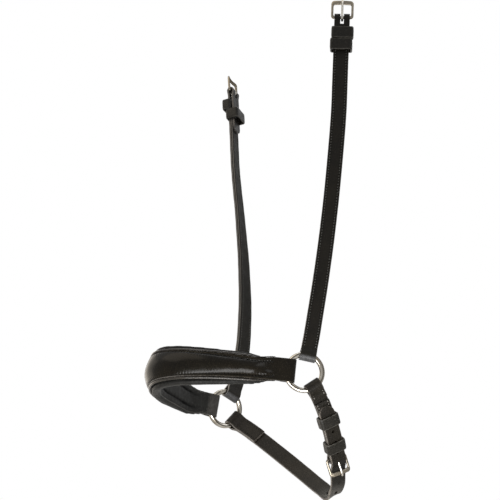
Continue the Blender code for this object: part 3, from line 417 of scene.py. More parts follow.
class Finish(Nodes):
    """A procedural material in the object's own space."""

    def __init__(self, name):
        self.material = bpy.data.materials.new(name)
        self.material.use_nodes = True
        super().__init__(self.material.node_tree)
        self.spot = self.add("TexCoord")["Object"]

    def noise(self, scale, detail=2.0, roughness=0.5, distortion=0.0, stretch=None):
        spot = self.spot
        if stretch:
            spot = self.add("Mapping", {"Vector": spot, "Scale": stretch})["Vector"]
        return self.add("TexNoise", {"Vector": spot, "Scale": scale, "Detail": detail,
                                     "Roughness": roughness, "Distortion": distortion})["Fac"]

    def cells(self, scale, feature="F1"):
        sockets = {"Vector": self.spot, "Scale": scale}
        return self.add("TexVoronoi", sockets, feature=feature)["Distance"]

    def paint_pit_shade(self, colour, specular):
        """Return the colour and the specular level, painted darker and without gloss in stitch
        pits and seam grooves as painted shade.
        """
        pit = self.attribute("pit")
        return self.mix(pit, colour, PIT_SHADE_COLOUR), self.span(pit, specular, 0.0)

    def done(self, sockets, *bumps):
        """Set the shader's sockets, chain bumps of (height, strength, distance), and return it."""
        shader = self.tree.nodes["Principled BSDF"]
        normal = {}
        for height, strength, distance in bumps:
            sizes = {"Height": height, "Strength": strength, "Distance": distance}
            normal = {"Normal": self.add("Bump", sizes | normal)["Normal"]}
        for key, value in (sockets | normal).items():
            self.give(shader.inputs[key], value)
        return self.material


# The pit colour is painted shade for stitch pits and sewn channels.
PIT_SHADE_COLOUR = (0.0008, 0.0008, 0.0007)
NAP_COLOUR = (0.024, 0.023, 0.021)
PORE_COLOUR = (0.0030, 0.0029, 0.0027)
# The two steel colours below are painted dark reflections.
DARK_REFLECTION_STEEL = (0.165, 0.146, 0.115)
DARK_REFLECTION_LINE = (0.050, 0.043, 0.034)


def leather(name, dark, light, worn, rough, grain, specular, pore=1500.0, bent=None):
    """Make a leather: mottled dye, fine grain, soft pulls, and edges worn lighter."""
    made = Finish(name)
    dye = made.blotch(made.noise(38.0, 4.0, 0.6), 0.3, 0.7, dark, light)
    dye = made.mix(made.span(made.noise(900.0), 0.0, 0.35, 0.52, 0.8), dye, worn)
    rub = made.noise(260.0, 3.0, 0.7)
    # Edges are worn lighter. The bent colour over the "bend" share is a painted highlight where
    # the cheek straps turn round the rings and on the chin strap's curve, and the paler turned
    # leather on the nose panel.
    for place, least, colour in (("edge", 0.15, worn), ("bend", 0.55, bent)):
        if colour:
            rubbed = made.span(rub, least, 1.0, 0.35, 0.65)
            dye = made.mix(made.math("MULTIPLY", made.attribute(place), rubbed), dye, colour)
    # Stitch pits are painted darker as shade.
    if bent:
        dye, specular = made.paint_pit_shade(dye, specular)
    rough = made.span(made.noise(170.0, 3.0, 0.6), *rough, 0.3, 0.7)
    return made.done({"Base Color": dye, "Roughness": rough, "Specular IOR Level": specular},
                     (made.noise(70.0, 3.0, 0.55, 0.5), 0.25 * grain, 0.0008),
                     (made.cells(pore), 0.30 * grain, 0.00016),
                     (made.noise(2.1 * pore), 0.20 * grain, 0.00008))


def soft_leather(name, dark, light):
    """Make the matt lining leather: a pebbled grain with a faint nap."""
    made = Finish(name)
    dye = made.blotch(made.noise(30.0, 4.0, 0.6), 0.3, 0.7, dark, light)
    dye = made.mix(made.span(made.noise(640.0), 0.0, 0.7, 0.56, 0.72), dye, NAP_COLOUR)
    pores = made.span(made.cells(1250.0, "DISTANCE_TO_EDGE"), 0.5, 0.0, 0.0, 0.22)
    # Sewn channels and stitch pits are painted darker as shade.
    dye, specular = made.paint_pit_shade(made.mix(pores, dye, PORE_COLOUR), 0.09)
    rough = made.span(made.noise(140.0, 3.0), 0.50, 0.66, 0.3, 0.7)
    return made.done({"Base Color": dye, "Roughness": rough, "Specular IOR Level": specular,
                      "Sheen Weight": 0.02, "Sheen Roughness": 0.5},
                     (made.noise(55.0, 3.0, 0.6, 0.8), 0.35, 0.0012),
                     (made.cells(1250.0), 0.45, 0.00022),
                     (made.noise(2600.0), 0.25, 0.00008))


def cut_edge(name, colour, pale):
    """Make a cut leather edge: layered fibres under worn edge paint."""
    made = Finish(name)
    fibre = made.noise(420.0, 3.0, 0.7, 0.4)
    tone, rough = made.blotch(fibre, 0.38, 0.66, colour, pale), made.span(fibre, 0.34, 0.55)
    return made.done({"Base Color": tone, "Roughness": rough, "Specular IOR Level": 0.45},
                     (fibre, 0.5, 0.0002), (made.noise(2400.0), 0.3, 0.00008))


def steel(name, bright, dim, rough):
    """Make nickel-plated steel: polished, with painted dark reflections on its "edge" faces and
    along its "band".
    """
    made = Finish(name)
    tone = made.blotch(made.noise(60.0, 3.0, 0.5, 0.4), 0.36, 0.68, bright, dim)
    # The "edge" and "band" shares paint dark reflections on the steel.
    for place, colour in (("edge", DARK_REFLECTION_STEEL), ("band", DARK_REFLECTION_LINE)):
        tone = made.mix(made.attribute(place), tone, colour)
    rough = made.span(made.noise(300.0, 3.0, 0.6), *rough, 0.3, 0.7)
    return made.done({"Base Color": tone, "Roughness": rough, "Metallic": 1.0,
                      "Specular Tint": (0.10, 0.085, 0.06)}, (made.noise(70.0), 0.05, 0.0004))


def thread(name, dark, light, specular):
    """Make waxed sewing thread with its twist."""
    made = Finish(name)
    twist = made.noise(1900.0, stretch=(1.0, 1.0, 2.5))
    tone, rough = made.blotch(twist, 0.35, 0.65, dark, light), made.span(twist, 0.42, 0.6)
    return made.done({"Base Color": tone, "Roughness": rough, "Specular IOR Level": specular},
                     (twist, 0.6, 0.00012))


PANEL = leather("panel_leather", (0.0014, 0.0011, 0.0006), (0.0035, 0.0026, 0.0014),
                (0.018, 0.015, 0.010), (0.23, 0.28), 0.13, 0.092, 1900.0, (0.030, 0.029, 0.027))
# The bent colours of the bridle and chin leathers are painted highlights: on the cheek folds round
# the rings and on the chin strap's curve.
BRIDLE = leather("bridle_leather", (0.0024, 0.0021, 0.0015), (0.0056, 0.0046, 0.0031),
                 (0.022, 0.019, 0.015), (0.34, 0.48), 0.8, 0.11, bent=(0.034, 0.034, 0.035))
CHIN_LEATHER = leather("chin_leather", (0.0024, 0.0020, 0.0014), (0.0058, 0.0047, 0.0031),
                       (0.036, 0.031, 0.026), (0.34, 0.46), 0.8, 0.12, bent=(0.100, 0.095, 0.088))
KEEPER = leather("keeper_leather", (0.0030, 0.0028, 0.0022), (0.0068, 0.0060, 0.0045),
                 (0.050, 0.047, 0.041), (0.34, 0.46), 1.4, 0.13, 1200.0)
PIPE = leather("piping_leather", (0.0060, 0.0053, 0.0042), (0.0120, 0.0100, 0.0075),
               (0.044, 0.037, 0.030), (0.17, 0.24), 0.4, 0.26, 2100.0)
WELT = leather("welt_leather", (0.0085, 0.0081, 0.0072), (0.0180, 0.0168, 0.0147),
               (0.040, 0.037, 0.033), (0.30, 0.40), 0.6, 0.16, 1300.0)
SOFT = soft_leather("lining_leather", (0.0021, 0.0021, 0.0018), (0.0050, 0.0049, 0.0042))
STRAP_LINING = soft_leather("strap_lining_leather", (0.0026, 0.0022, 0.0014),
                            (0.0064, 0.0054, 0.0036))
EDGE = cut_edge("strap_edge", (0.012, 0.011, 0.010), (0.040, 0.035, 0.030))
# The chin strap's edge is paler than the others: worn edge paint, and partly a painted highlight
# along its cut edges.
PALE_EDGE = cut_edge("chin_strap_edge", (0.022, 0.019, 0.016), (0.085, 0.074, 0.063))
STEEL = steel("nickel_steel", (0.50, 0.485, 0.45), (0.29, 0.27, 0.23), (0.16, 0.24))
CAST_STEEL = steel("cast_nickel", (0.20, 0.18, 0.148), (0.125, 0.11, 0.087), (0.27, 0.36))
BLACK_THREAD = thread("black_thread", (0.0012, 0.0011, 0.0010), (0.0040, 0.0038, 0.0034), 0.06)
# The cheek straps' grey thread paints the highlights of their stitches.
GREY_THREAD = thread("grey_thread", (0.015, 0.0145, 0.013), (0.046, 0.044, 0.040), 0.3)
PALE_THREAD = thread("pale_thread", (0.050, 0.047, 0.042), (0.14, 0.132, 0.118), 0.3)


# Meshes

def add_object(name, mesh, *materials):
    item = bpy.data.objects.new(name, mesh)
    bpy.context.scene.collection.objects.link(item)
    for finish in materials:
        mesh.materials.append(finish)
    return item


def settle(item, body, *nodes):
    """Let a piece ride on its body, in place of the nodes that it stands for."""
    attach(item, body)
    if nodes:
        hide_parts(*nodes)
    return item


def mesh_of(name, body, smooth=True):
    """Turn the geometry being edited into a mesh."""
    mesh = bpy.data.meshes.new(name)
    body.to_mesh(mesh)
    body.free()
    if smooth:
        mesh.shade_smooth()
    return mesh


def drawn_mesh(item):
    """Give an object its modified mesh for good, and return the mesh."""
    bpy.context.view_layer.update()
    drawn = item.evaluated_get(bpy.context.evaluated_depsgraph_get())
    mesh = bpy.data.meshes.new_from_object(drawn)
    item.modifiers.clear()
    item.data = mesh
    return mesh


def add_grid(body, rows, closed, ends):
    """Join rows of points with faces; the ends are open, capped or joined to each other."""
    made = [[body.verts.new(point) for point in points] for points in rows]
    count = len(made[0])
    after_rows = made[1:] + (made[:1] if ends == "joined" else [])
    for before, after in zip(made, after_rows):
        for j in range(count if closed else count - 1):
            k = (j + 1) % count
            body.faces.new((before[j], before[k], after[k], after[j]))
    if ends == "capped":
        body.faces.new(made[0])
        body.faces.new(made[-1])
    return made


def grid(name, rows, ends="open", closed=True, shares=None):
    """Make a mesh of rows of points; shares are named, one row of values for a row of points."""
    body = bmesh.new()
    layers = [(body.verts.layers.float.new(key), values) for key, values in (shares or {}).items()]
    made = add_grid(body, rows, closed, ends)
    for layer, values in layers:
        for line, shares_of_line in zip(made, values):
            for vertex, value in zip(line, shares_of_line):
                vertex[layer] = value
    if ends != "open":
        bmesh.ops.recalc_face_normals(body, faces=body.faces)
    return mesh_of(name, body)


def ripple(length, across, scale=1.0):
    """Return a small unevenness that never repeats along a strap."""
    a, c = length / MM, across / MM
    return scale * MM * (0.055 * math.sin(a * 0.31 + 0.23 * c)
                         + 0.045 * math.sin(a * 0.127 - 0.4 * c)
                         + 0.03 * math.sin(a * 0.53 + 0.9) * math.cos(c * 0.37))


def mirrored(columns):
    """Return columns from 0 out to one side as columns from side to side."""
    return [-c for c in reversed(columns[1:])] + list(columns)


STRAP_COLUMNS = mirrored((0.0, 0.25, 0.5, 0.60, 0.66, 0.70, 0.74, 0.78, 0.85, 0.93, 1.0))


def strap(name, route, line, half_width, thickness, materials, columns=STRAP_COLUMNS,
          lift=nothing, spread=None, pit=nothing, bend=nothing, uneven=1.0, edge=EDGE_ROUND):
    """Make a strap as an open sheet that is thickened and has rounded edges.

    Of a length, a stand-off and a distance across, lift gives the rise of the leather, pit
    its share of stitch pit, painted darker as shade, and bend its share of paler leather
    where it turns, partly a painted highlight; spread places the columns.
    """
    rows, edges, pits, bends = [], [], [], []
    for (at, off), half in zip(line, np.broadcast_to(half_width, len(line))):
        places = [spread(at, column) if spread else column * half for column in columns]
        rows.append([route.place(at, off + lift(at, off, c) + ripple(at, c, uneven), c)
                     for c in places])
        edges.append([max(0.0, 1.0 - (half - abs(c)) / EDGE_WEAR) for c in places])
        pits.append([pit(at, off, c) for c in places])
        bends.append([bend(at, off)] * len(places))
    shares = {"edge": edges, "pit": pits, "bend": bends}
    item = add_object(name, grid(name, rows, closed=False, shares=shares), *materials)
    solid = item.modifiers.new("thickness", "SOLIDIFY")
    solid.thickness, solid.offset, solid.use_even_offset = thickness, 0.0, True
    solid.material_offset_rim = len(materials) - 1
    bevel = item.modifiers.new("edges", "BEVEL")
    bevel.width, bevel.segments, bevel.material = edge, 3, 0
    bevel.limit_method, bevel.angle_limit = "ANGLE", math.radians(50.0)
    return item


def rounded_outline(low_x, high_x, low_y, high_y, corner, steps=8):
    """Return the points of a rectangle with round corners, anticlockwise."""
    centres = [(high_x - corner, high_y - corner), (low_x + corner, high_y - corner),
               (low_x + corner, low_y + corner), (high_x - corner, low_y + corner)]
    corners = []
    for quarter, centre in enumerate(centres):
        turns = [math.radians(90.0 * (quarter + i / steps)) for i in range(steps + 1)]
        corners.append([np.array(centre) + corner * np.array([math.cos(t), math.sin(t)])
                        for t in turns])
    points = []
    for now, after in zip(corners, corners[1:] + corners[:1]):
        points += now
        points += [now[-1] + (after[0] - now[-1]) * i / steps for i in range(1, steps)]
    return points


def hoop(name, inner, outer, height, place, finish, power, sides=20, shape=nothing):
    """Sweep a rounded section of a height between two outlines."""
    rows, wear_and_dark_reflection = [], []
    for a, b in zip(inner, outer):
        row, worn = [], []
        for k in range(sides):
            u, w = squared(2 * math.pi * k / sides, power)
            x, y = (a + b) / 2 + (b - a) / 2 * u
            row.append(place @ Vector((x, y, height / 2 * w + shape(x, y))))
            # The "edge" share of the two flat faces is edge wear on leather keepers and a painted
            # dark reflection on buckle frames.
            worn.append(max(0.0, abs(w) - 0.8) / 0.2)
        rows.append(row)
        wear_and_dark_reflection.append(worn)
    return add_object(name, grid(name, rows, "joined", shares={"edge": wear_and_dark_reflection}), finish)


def rod(name, points, radius, finish, sides=14):
    """Make a round rod along a smooth line; radius is one for each point."""
    ways = np.gradient(np.array(points, float), axis=0)
    side = square_to(np.array([0.31, 0.57, 0.76]), unit(ways[0]))
    rows = []
    for point, way, reach in zip(points, ways, radius):
        way = unit(way)
        side = square_to(side, way)
        rows.append(circle(point, reach * side, reach * np.cross(way, side), sides))
    return add_object(name, grid(name, rows, "capped"), finish)


def stitches(name, runs, finish):
    """Make a row of stitches; each run is a list of (from point, to point, outward way)."""
    body = bmesh.new()
    for start, end, out in runs:
        side = np.cross(unit(end - start), out)
        rows = [circle((start + end) / 2 + share * (end - start) + rise * THREAD * out,
                       full * THREAD / 2 * side, full * THREAD / 2 * out, 6)
                for share, full, rise in STITCH_FORM]
        add_grid(body, rows, True, "capped")
    bmesh.ops.recalc_face_normals(body, faces=body.faces)
    return add_object(name, mesh_of(name, body), finish)


def stitched(at, start, end, middle=(STITCH_PITCH + STITCH_LENGTH) / 2):
    """Return how near a length is to a pit of the seam from start to end, from 0 to 1."""
    turn = (at - start - middle) / STITCH_PITCH
    return (0.5 + 0.5 * math.cos(2 * math.pi * turn)) ** 2 if start < at < end else 0.0


def seams(route, start, end, off, across, face=1.0):
    """Return the stitches of two seams, one on each side of a strap, from start to end."""
    run = []
    for side in (-1, 1):
        for i in range(int((end - start) / STITCH_PITCH)):
            low = start + i * STITCH_PITCH
            high = low + STITCH_LENGTH
            ends = [route.place(at, given(off, at), side * given(across, at) + slant)
                    for at, slant in ((low, -STITCH_SLANT), (high, STITCH_SLANT))]
            run.append((*ends, face * route.at((low + high) / 2)[3]))
    return run


# Rings

class Ring:
    """The place of one ring: centre, outward axis, and its own back and up ways."""

    def __init__(self, side):
        self.side = side
        self.name = SIDE_NAME[side]
        yaw, lean = math.radians(RING_YAW[side]), math.radians(RING_LEAN[side])
        self.centre = np.array([RING_BACK, side * RING_SPACING / 2, -RING_DROP])
        self.axis = np.array([-math.sin(yaw) * math.cos(lean),
                              side * math.cos(yaw) * math.cos(lean), math.sin(lean)])
        self.up = square_to(UP, self.axis)
        self.back = side * np.cross(self.axis, self.up)
        self.radius = (RING_BORE + RING_WIRE) / 2

    def radial(self, degrees):
        turn = math.radians(degrees)
        return math.cos(turn) * self.back + math.sin(turn) * self.up

    def tangent(self, degrees):
        return self.radial(degrees + 90.0)

    def wire_point(self, degrees):
        return self.centre + self.radius * self.radial(degrees)

    def sag(self, half_width):
        return self.radius - math.sqrt(self.radius**2 - half_width**2)


def make_ring(ring):
    """Make one welded steel ring, with its weld, a painted dark reflection line and two sectors
    painted darker as reflections.
    """
    turns = [360.0 * k / RING_SIDES for k in range(RING_SIDES)]
    rows, bands, dark_reflections = [], [], []
    for degrees in np.arange(0.0, 360.0, RING_STEP):
        reach = RING_WIRE / 2 + WELD_HEIGHT * bell(degrees - WELD_AT, WELD_WIDTH)
        rows.append(circle(ring.wire_point(degrees), reach * ring.radial(degrees),
                           reach * ring.axis, RING_SIDES))
        # A painted dark reflection line runs along the wire, and two sectors are painted darker as
        # reflections.
        drift = REFLECTION_LINE_DRIFT * math.cos(math.radians(degrees - REFLECTION_LINE_LOW))
        bands.append([0.95 * bell(min(turn, 360.0 - turn) - REFLECTION_LINE_AT - drift,
                                  REFLECTION_LINE_WIDTH) for turn in turns])
        dark_reflection = max(bell((degrees - at + 180.0) % 360.0 - 180.0, width)
                   for at, width in DARK_REFLECTION_SECTORS)
        dark_reflections.append([0.85 * dark_reflection] * RING_SIDES)
    name = ring.name + "_steel_ring"
    mesh = grid(name, rows, "joined", shares={"band": bands, "edge": dark_reflections})
    settle(add_object(name, mesh, STEEL), ring.name + "_ring", ring.name + "_ring")


# Buckles

BAR_INNER_RADIUS = math.hypot(BUCKLE_REAR_BAR, BUCKLE_THICKNESS) / 2 - BAR_ROUNDING + BAR_PLAY
TONGUE_EYE = BAR_INNER_RADIUS + TONGUE_WIRE / 2
FRONT_BAR_MIDDLE = BUCKLE_REAR_BAR / 2 + BUCKLE_WINDOW + BUCKLE_FRONT_BAR / 2


def buckle(name, place, frame_body, tongue_body, node):
    """Make a cast buckle frame and its tongue."""
    inner, rear = BUCKLE_INSIDE_WIDTH / 2, BUCKLE_REAR_BAR / 2
    outer, front = inner + BUCKLE_SIDE_BAR, rear + BUCKLE_WINDOW

    def bow(x, y):
        return BUCKLE_BOW * max(y - rear, 0.0) / front * (1.0 - (x / outer) ** 2)

    # The frame's flat faces are painted darker as reflections.
    made = hoop(name + "_buckle", rounded_outline(-inner, inner, rear, front, BUCKLE_CORNER / 2),
                rounded_outline(-outer, outer, -rear, front + BUCKLE_FRONT_BAR, BUCKLE_CORNER),
                BUCKLE_THICKNESS, place, CAST_STEEL, 2.8, shape=bow)
    settle(made, frame_body, node + "_buckle_frame")

    over = BUCKLE_THICKNESS / 2 + BUCKLE_BOW + GAP + TONGUE_WIRE / 2
    turns = [math.radians(degrees) for degrees in range(360, 89, -15)]
    points = [(0.0, TONGUE_EYE * math.cos(t), TONGUE_EYE * math.sin(t)) for t in turns]
    points += [(0.0, FRONT_BAR_MIDDLE * 0.45, TONGUE_EYE + 0.45 * (over - TONGUE_EYE)),
               (0.0, FRONT_BAR_MIDDLE - BUCKLE_FRONT_BAR / 2, over),
               (0.0, FRONT_BAR_MIDDLE + BUCKLE_FRONT_BAR / 4, over),
               (0.0, FRONT_BAR_MIDDLE + BUCKLE_FRONT_BAR / 2 + TONGUE_OVERHANG, over - TIP_DIP)]
    route = Route(points, [(1.0, 0.0, 0.0)] * len(points), 1)
    line, radius = [], []
    for at in steps_between(0.0, route.length, TONGUE_STEP):
        line.append(np.array(place @ Vector(route.place(at))))
        from_tip = min(at, route.length - at)
        dome = max(1.0 - (1.0 - min(from_tip / TONGUE_DOME, 1.0)) ** 2, 0.05)
        radius.append(TONGUE_WIRE / 2 * math.sqrt(dome))
    settle(rod(name + "_tongue", line, radius, STEEL), tongue_body, node + "_buckle_tongue")


def tongue_slot(item, place, length):
    """Cut the slot for the tongue through both layers of the turned leather."""
    body = bmesh.new()
    bmesh.ops.create_cube(body, size=1.0)
    size = (TONGUE_WIRE + 2 * TONGUE_SLOT_PLAY, length, SLOT_CUT_DEPTH)
    bmesh.ops.scale(body, vec=size, verts=body.verts)
    middle = Matrix.Translation((0.0, SLOT_PAST_BAR - length / 2, 0.0))
    cut(item, body, place @ middle)


def cut(item, body, place=Matrix()):
    """Cut a piece for good with the geometry being edited."""
    cutter = add_object("cutter", mesh_of("cutter", body, smooth=False))
    cutter.matrix_world = place
    boolean = item.modifiers.new("cut", "BOOLEAN")
    boolean.operation, boolean.object, boolean.solver = "DIFFERENCE", cutter, "EXACT"
    drawn_mesh(item).set_sharp_from_angle(angle=math.radians(45.0))
    bpy.data.objects.remove(cutter, do_unlink=True)


def keeper(name, route, length, low_w, high_w, low_q, high_q, body, node):
    """Make a keeper: a band of leather with rounded, rubbed edges."""
    place, _, width, out = route.at(length + KEEPER_HEIGHT / 2)
    grow = KEEPER_LEATHER
    inner = rounded_outline(low_w, high_w, low_q, high_q, KEEPER_CORNER)
    outer = rounded_outline(low_w - grow - KEEPER_BULGE, high_w + grow + KEEPER_BULGE,
                            low_q - grow, high_q + grow, KEEPER_CORNER + grow)
    middle_w, middle_q = (low_w + high_w) / 2, (low_q + high_q) / 2

    def relax(x, y):
        return KEEPER_WARP * math.sin((x - middle_w) * 260.0 + (y - middle_q) * 340.0)

    matrix = frame_matrix(place, width, out, np.cross(width, out))
    made = hoop(name, inner, outer, KEEPER_HEIGHT, matrix, KEEPER, 4.0, 40, relax)
    settle(made, body, node)


# Cheek straps

LAYER_PITCH = STRAP_LAYER + GAP
CHEEK_RING_MIDDLE = -LAYER_PITCH / 2
CHEEK_BAR_MIDDLE = -(STRAP_LAYER + LINING_LAYER + 2 * GAP) / 2
CHAPE_OFF = 2 * CHEEK_BAR_MIDDLE
TIP_ANGLES = (10.0, 20.0, 30.0, 42.0, 54.0, 66.0, 78.0)


def cheek_route(ring):
    side = ring.side
    loop_at = CHEEK_LOOP_AT[side]
    way, width = ring.radial(loop_at), -ring.tangent(loop_at)
    start = ring.wire_point(loop_at) - CHEEK_RING_MIDDLE * ring.axis
    lean = math.atan2(CHEEK_SLOPE_BACK, CHEEK_RISE)
    yaw = math.radians(CHEEK_TOP_YAW[side])
    end = ring.centre + np.array([CHEEK_SLOPE_BACK, side * CHEEK_FLARE[side], CHEEK_RISE])
    top_width = np.array([math.cos(yaw), side * math.sin(yaw), -math.sin(lean)])
    rise_early, rise_late = CHEEK_BOW_SHAPE[side]
    peak = rise_early / (rise_early + rise_late)
    most = peak**rise_early * (1 - peak) ** rise_late
    points, widths = [start, start + 7.0 * MM * way], [width, width]
    flat_share = 1.0 - (SEAT_BELOW_BUCKLE + SEAT_LENGTH) / np.linalg.norm(end - start)
    for share in (0.12, 0.24, 0.40, 0.58, flat_share):
        bow = share**rise_early * (1 - share) ** rise_late / most
        shift = np.array([CHEEK_BOW_BACK, -side * CHEEK_BOW_IN, 0.0]) * bow
        points.append(start + (end - start) * share + shift)
        turn = min(share / flat_share, 1.0)
        widths.append(unit((1 - ease(turn)) * width + ease(turn) * top_width))
    last = points[-1]
    points.insert(-1, last - 6.0 * MM * unit(end - last))
    widths.insert(-1, top_width)
    for share in (0.34, 0.67, 1.0):
        points.append(last + (end - last) * share)
        widths.append(top_width)
    return Route(points, widths, side)


def strap_tip(start, half):
    """Return the lengths and half widths of a strap's rounded tip."""
    turns = [math.radians(degrees) for degrees in TIP_ANGLES]
    return [(start + half * (1 - math.cos(t)), half * math.sin(t)) for t in turns]


def make_cheek(ring):
    """Make one cheek strap: lined and stitched, with its keepers and buckle."""
    cheek = ring.name + "_cheek"
    route = cheek_route(ring)
    half, bar_at = STRAP_WIDTH / 2, route.length
    ring_radius = RING_WIRE / 2 + GAP + CHEEK_LOOP_PLAY + STRAP_LAYER / 2
    loop_centre = -ring.sag(half) + CHEEK_LOOP_PLAY
    ring_fold = fold(loop_centre, CHEEK_RING_MIDDLE, LAYER_PITCH / 2, ring_radius, -1)
    bar_radius = BAR_INNER_RADIUS + STRAP_LAYER / 2
    bar_fold = fold(bar_at, CHEEK_BAR_MIDDLE, -CHEEK_BAR_MIDDLE, bar_radius, 1, 0.0,
                    CHEEK_FOLD_RISE)
    tip_at = bar_at - CHEEK_TOP_TURN
    tip = strap_tip(tip_at, half)[::-1]
    front = steps_between(ring_fold[-1][0], bar_fold[-1][0], PANEL_STEP)[1:-1]
    line = [(CHEEK_RING_TURN, -LAYER_PITCH)] + ring_fold + [(at, 0.0) for at in front]
    line += bar_fold[::-1] + flat_run(bar_fold[0][0], tip_at + half, CHAPE_OFF)[1:]
    widths = [half] * len(line) + [width for _, width in tip]
    line += [(at, CHAPE_OFF) for at, _ in tip]
    seam_start, seam_end = CHEEK_SEAM_START, bar_at - CHEEK_SEAM_SHORT
    seam_across = STRAP_SEAM * half

    # The stitch pits' share also paints them darker as shade.
    def hole(at, off, across):
        near_seam = bell(abs(across) - seam_across, STITCH_PIT_WIDTH)
        return near_seam * stitched(at, seam_start, seam_end) if off > CHEEK_RING_MIDDLE else 0.0

    def groove(at, off, across):
        depth = STRAP_GROOVE * bell(abs(across) - seam_across, STRAP_GROOVE_WIDTH)
        return -STRAP_PIT * hole(at, off, across) - (depth if off > CHEEK_RING_MIDDLE else 0.0)

    # The fold round the ring is painted paler as its highlight.
    def turned(at, off):
        return 1.0 - ease((at - loop_centre + TURN_BLEND[0]) / TURN_BLEND[1])

    made = strap(cheek + "_leather", route, line, widths, STRAP_LAYER, (BRIDLE, EDGE), lift=groove,
                 pit=hole, bend=turned)
    bar_place, way, _, out = route.at(bar_at)
    bar = frame_matrix(bar_place + CHEEK_BAR_MIDDLE * out, np.cross(way, out), way, out)
    tongue_slot(made, bar, TONGUE_SLOT)
    settle(made, cheek, cheek + "_strap")
    buckle(cheek, bar, ring.name + "_buckle", ring.name + "_tongue", cheek)

    fixed_at = bar_at - KEEPER_BELOW_BAR - KEEPER_HEIGHT
    runner_at = fixed_at - KEEPER_SPACING - KEEPER_HEIGHT
    lining_line = flat_run(CHEEK_RING_TURN + 2 * GAP, fixed_at - KEEPER_SPACING, -LAYER_PITCH)
    made = strap(cheek + "_inner_leather", route, lining_line, half, LINING_LAYER,
                 (STRAP_LINING, EDGE))
    settle(made, cheek, cheek + "_lining")

    runs = seams(route, seam_start, seam_end, STRAP_LAYER / 2, seam_across)
    runs += seams(route, CHEEK_RING_TURN + 3 * MM, tip_at - 2 * MM,
                  -LAYER_PITCH - LINING_LAYER / 2, seam_across, -1.0)
    # The grey thread paints the highlights of these stitches.
    settle(stitches(cheek + "_stitches", runs, GREY_THREAD), cheek)

    room, skin = half + KEEPER_SIDE_PLAY, STRAP_LAYER / 2 + GAP
    shift = FIXED_KEEPER_SHIFT[ring.side]
    keeper(ring.name + "_keeper_fixed", route, fixed_at, shift - room, shift + room, -skin,
           skin + BILLET_ROOM, cheek, ring.name + "_fixed_keeper")
    low, high = CHAPE_OFF - skin, skin + BILLET_ROOM
    if ring.side == FAR:
        low, high = low - BILLET_ROOM + FAR_RUNNER_ROOM, skin + FAR_RUNNER_ROOM
    keeper(ring.name + "_keeper_runner", route, runner_at, -room, room, low, high,
           ring.name + "_runner", ring.name + "_runner_keeper")


# Nosepiece

FACE_OFF = GAP + FACE_LEATHER / 2
TURN_OFF = -BACKING_LAYER - GAP - FACE_LEATHER / 2
NOSE_MIDDLE = (FACE_OFF + TURN_OFF) / 2


def nose_route(near, far):
    def half_width(share):
        return NOSE_HALF_WIDTH * math.sqrt(max(1.0 - share**NOSE_SHAPE, 0.0))

    points, widths = [], []
    for ring in (near, far):
        side = ring.side
        width = -ring.tangent(NOSE_LOOP_AT)
        yaw = math.radians(NOSE_END_YAW[side])
        way = square_to(np.array([-math.cos(yaw), -side * math.sin(yaw), 0.0]), width)
        out = side * np.cross(way, width)
        sideways = -0.5 * ring.sag(FACE_END_WIDTH / 2) * np.dot(ring.radial(NOSE_LOOP_AT), out)
        start = ring.wire_point(NOSE_LOOP_AT) + (sideways - NOSE_MIDDLE) * out
        run = [start, start + NOSE_END_STRAIGHT * way]
        first = (RING_BACK - run[1][0]) / NOSE_DEPTH
        spread = side * run[1][1] - half_width(first)
        for share in NOSE_SHARES:
            fade = 1.0 - ease((share - first) / (NOSE_SPREAD_SHARE - first))
            height = FRONT_RISE * share**FRONT_RISE_POWER - RING_DROP * (1.0 - share**2)
            run.append(np.array([RING_BACK - NOSE_DEPTH * share,
                                 side * (half_width(share) + spread * fade), height]))
        tilt = math.radians(FRONT_TILT)
        front_up = np.array([-math.sin(tilt), 0.0, math.cos(tilt)])
        lean = [width, width, unit(0.7 * width + 0.3 * UP), unit(0.3 * width + 0.7 * UP)]
        lean += [unit(UP + front_up), front_up, front_up, front_up]
        if ring is near:
            points, widths = run, lean
        else:
            points, widths = points + run[-2::-1], widths + lean[-2::-1]
    return Route(points, widths, NEAR)


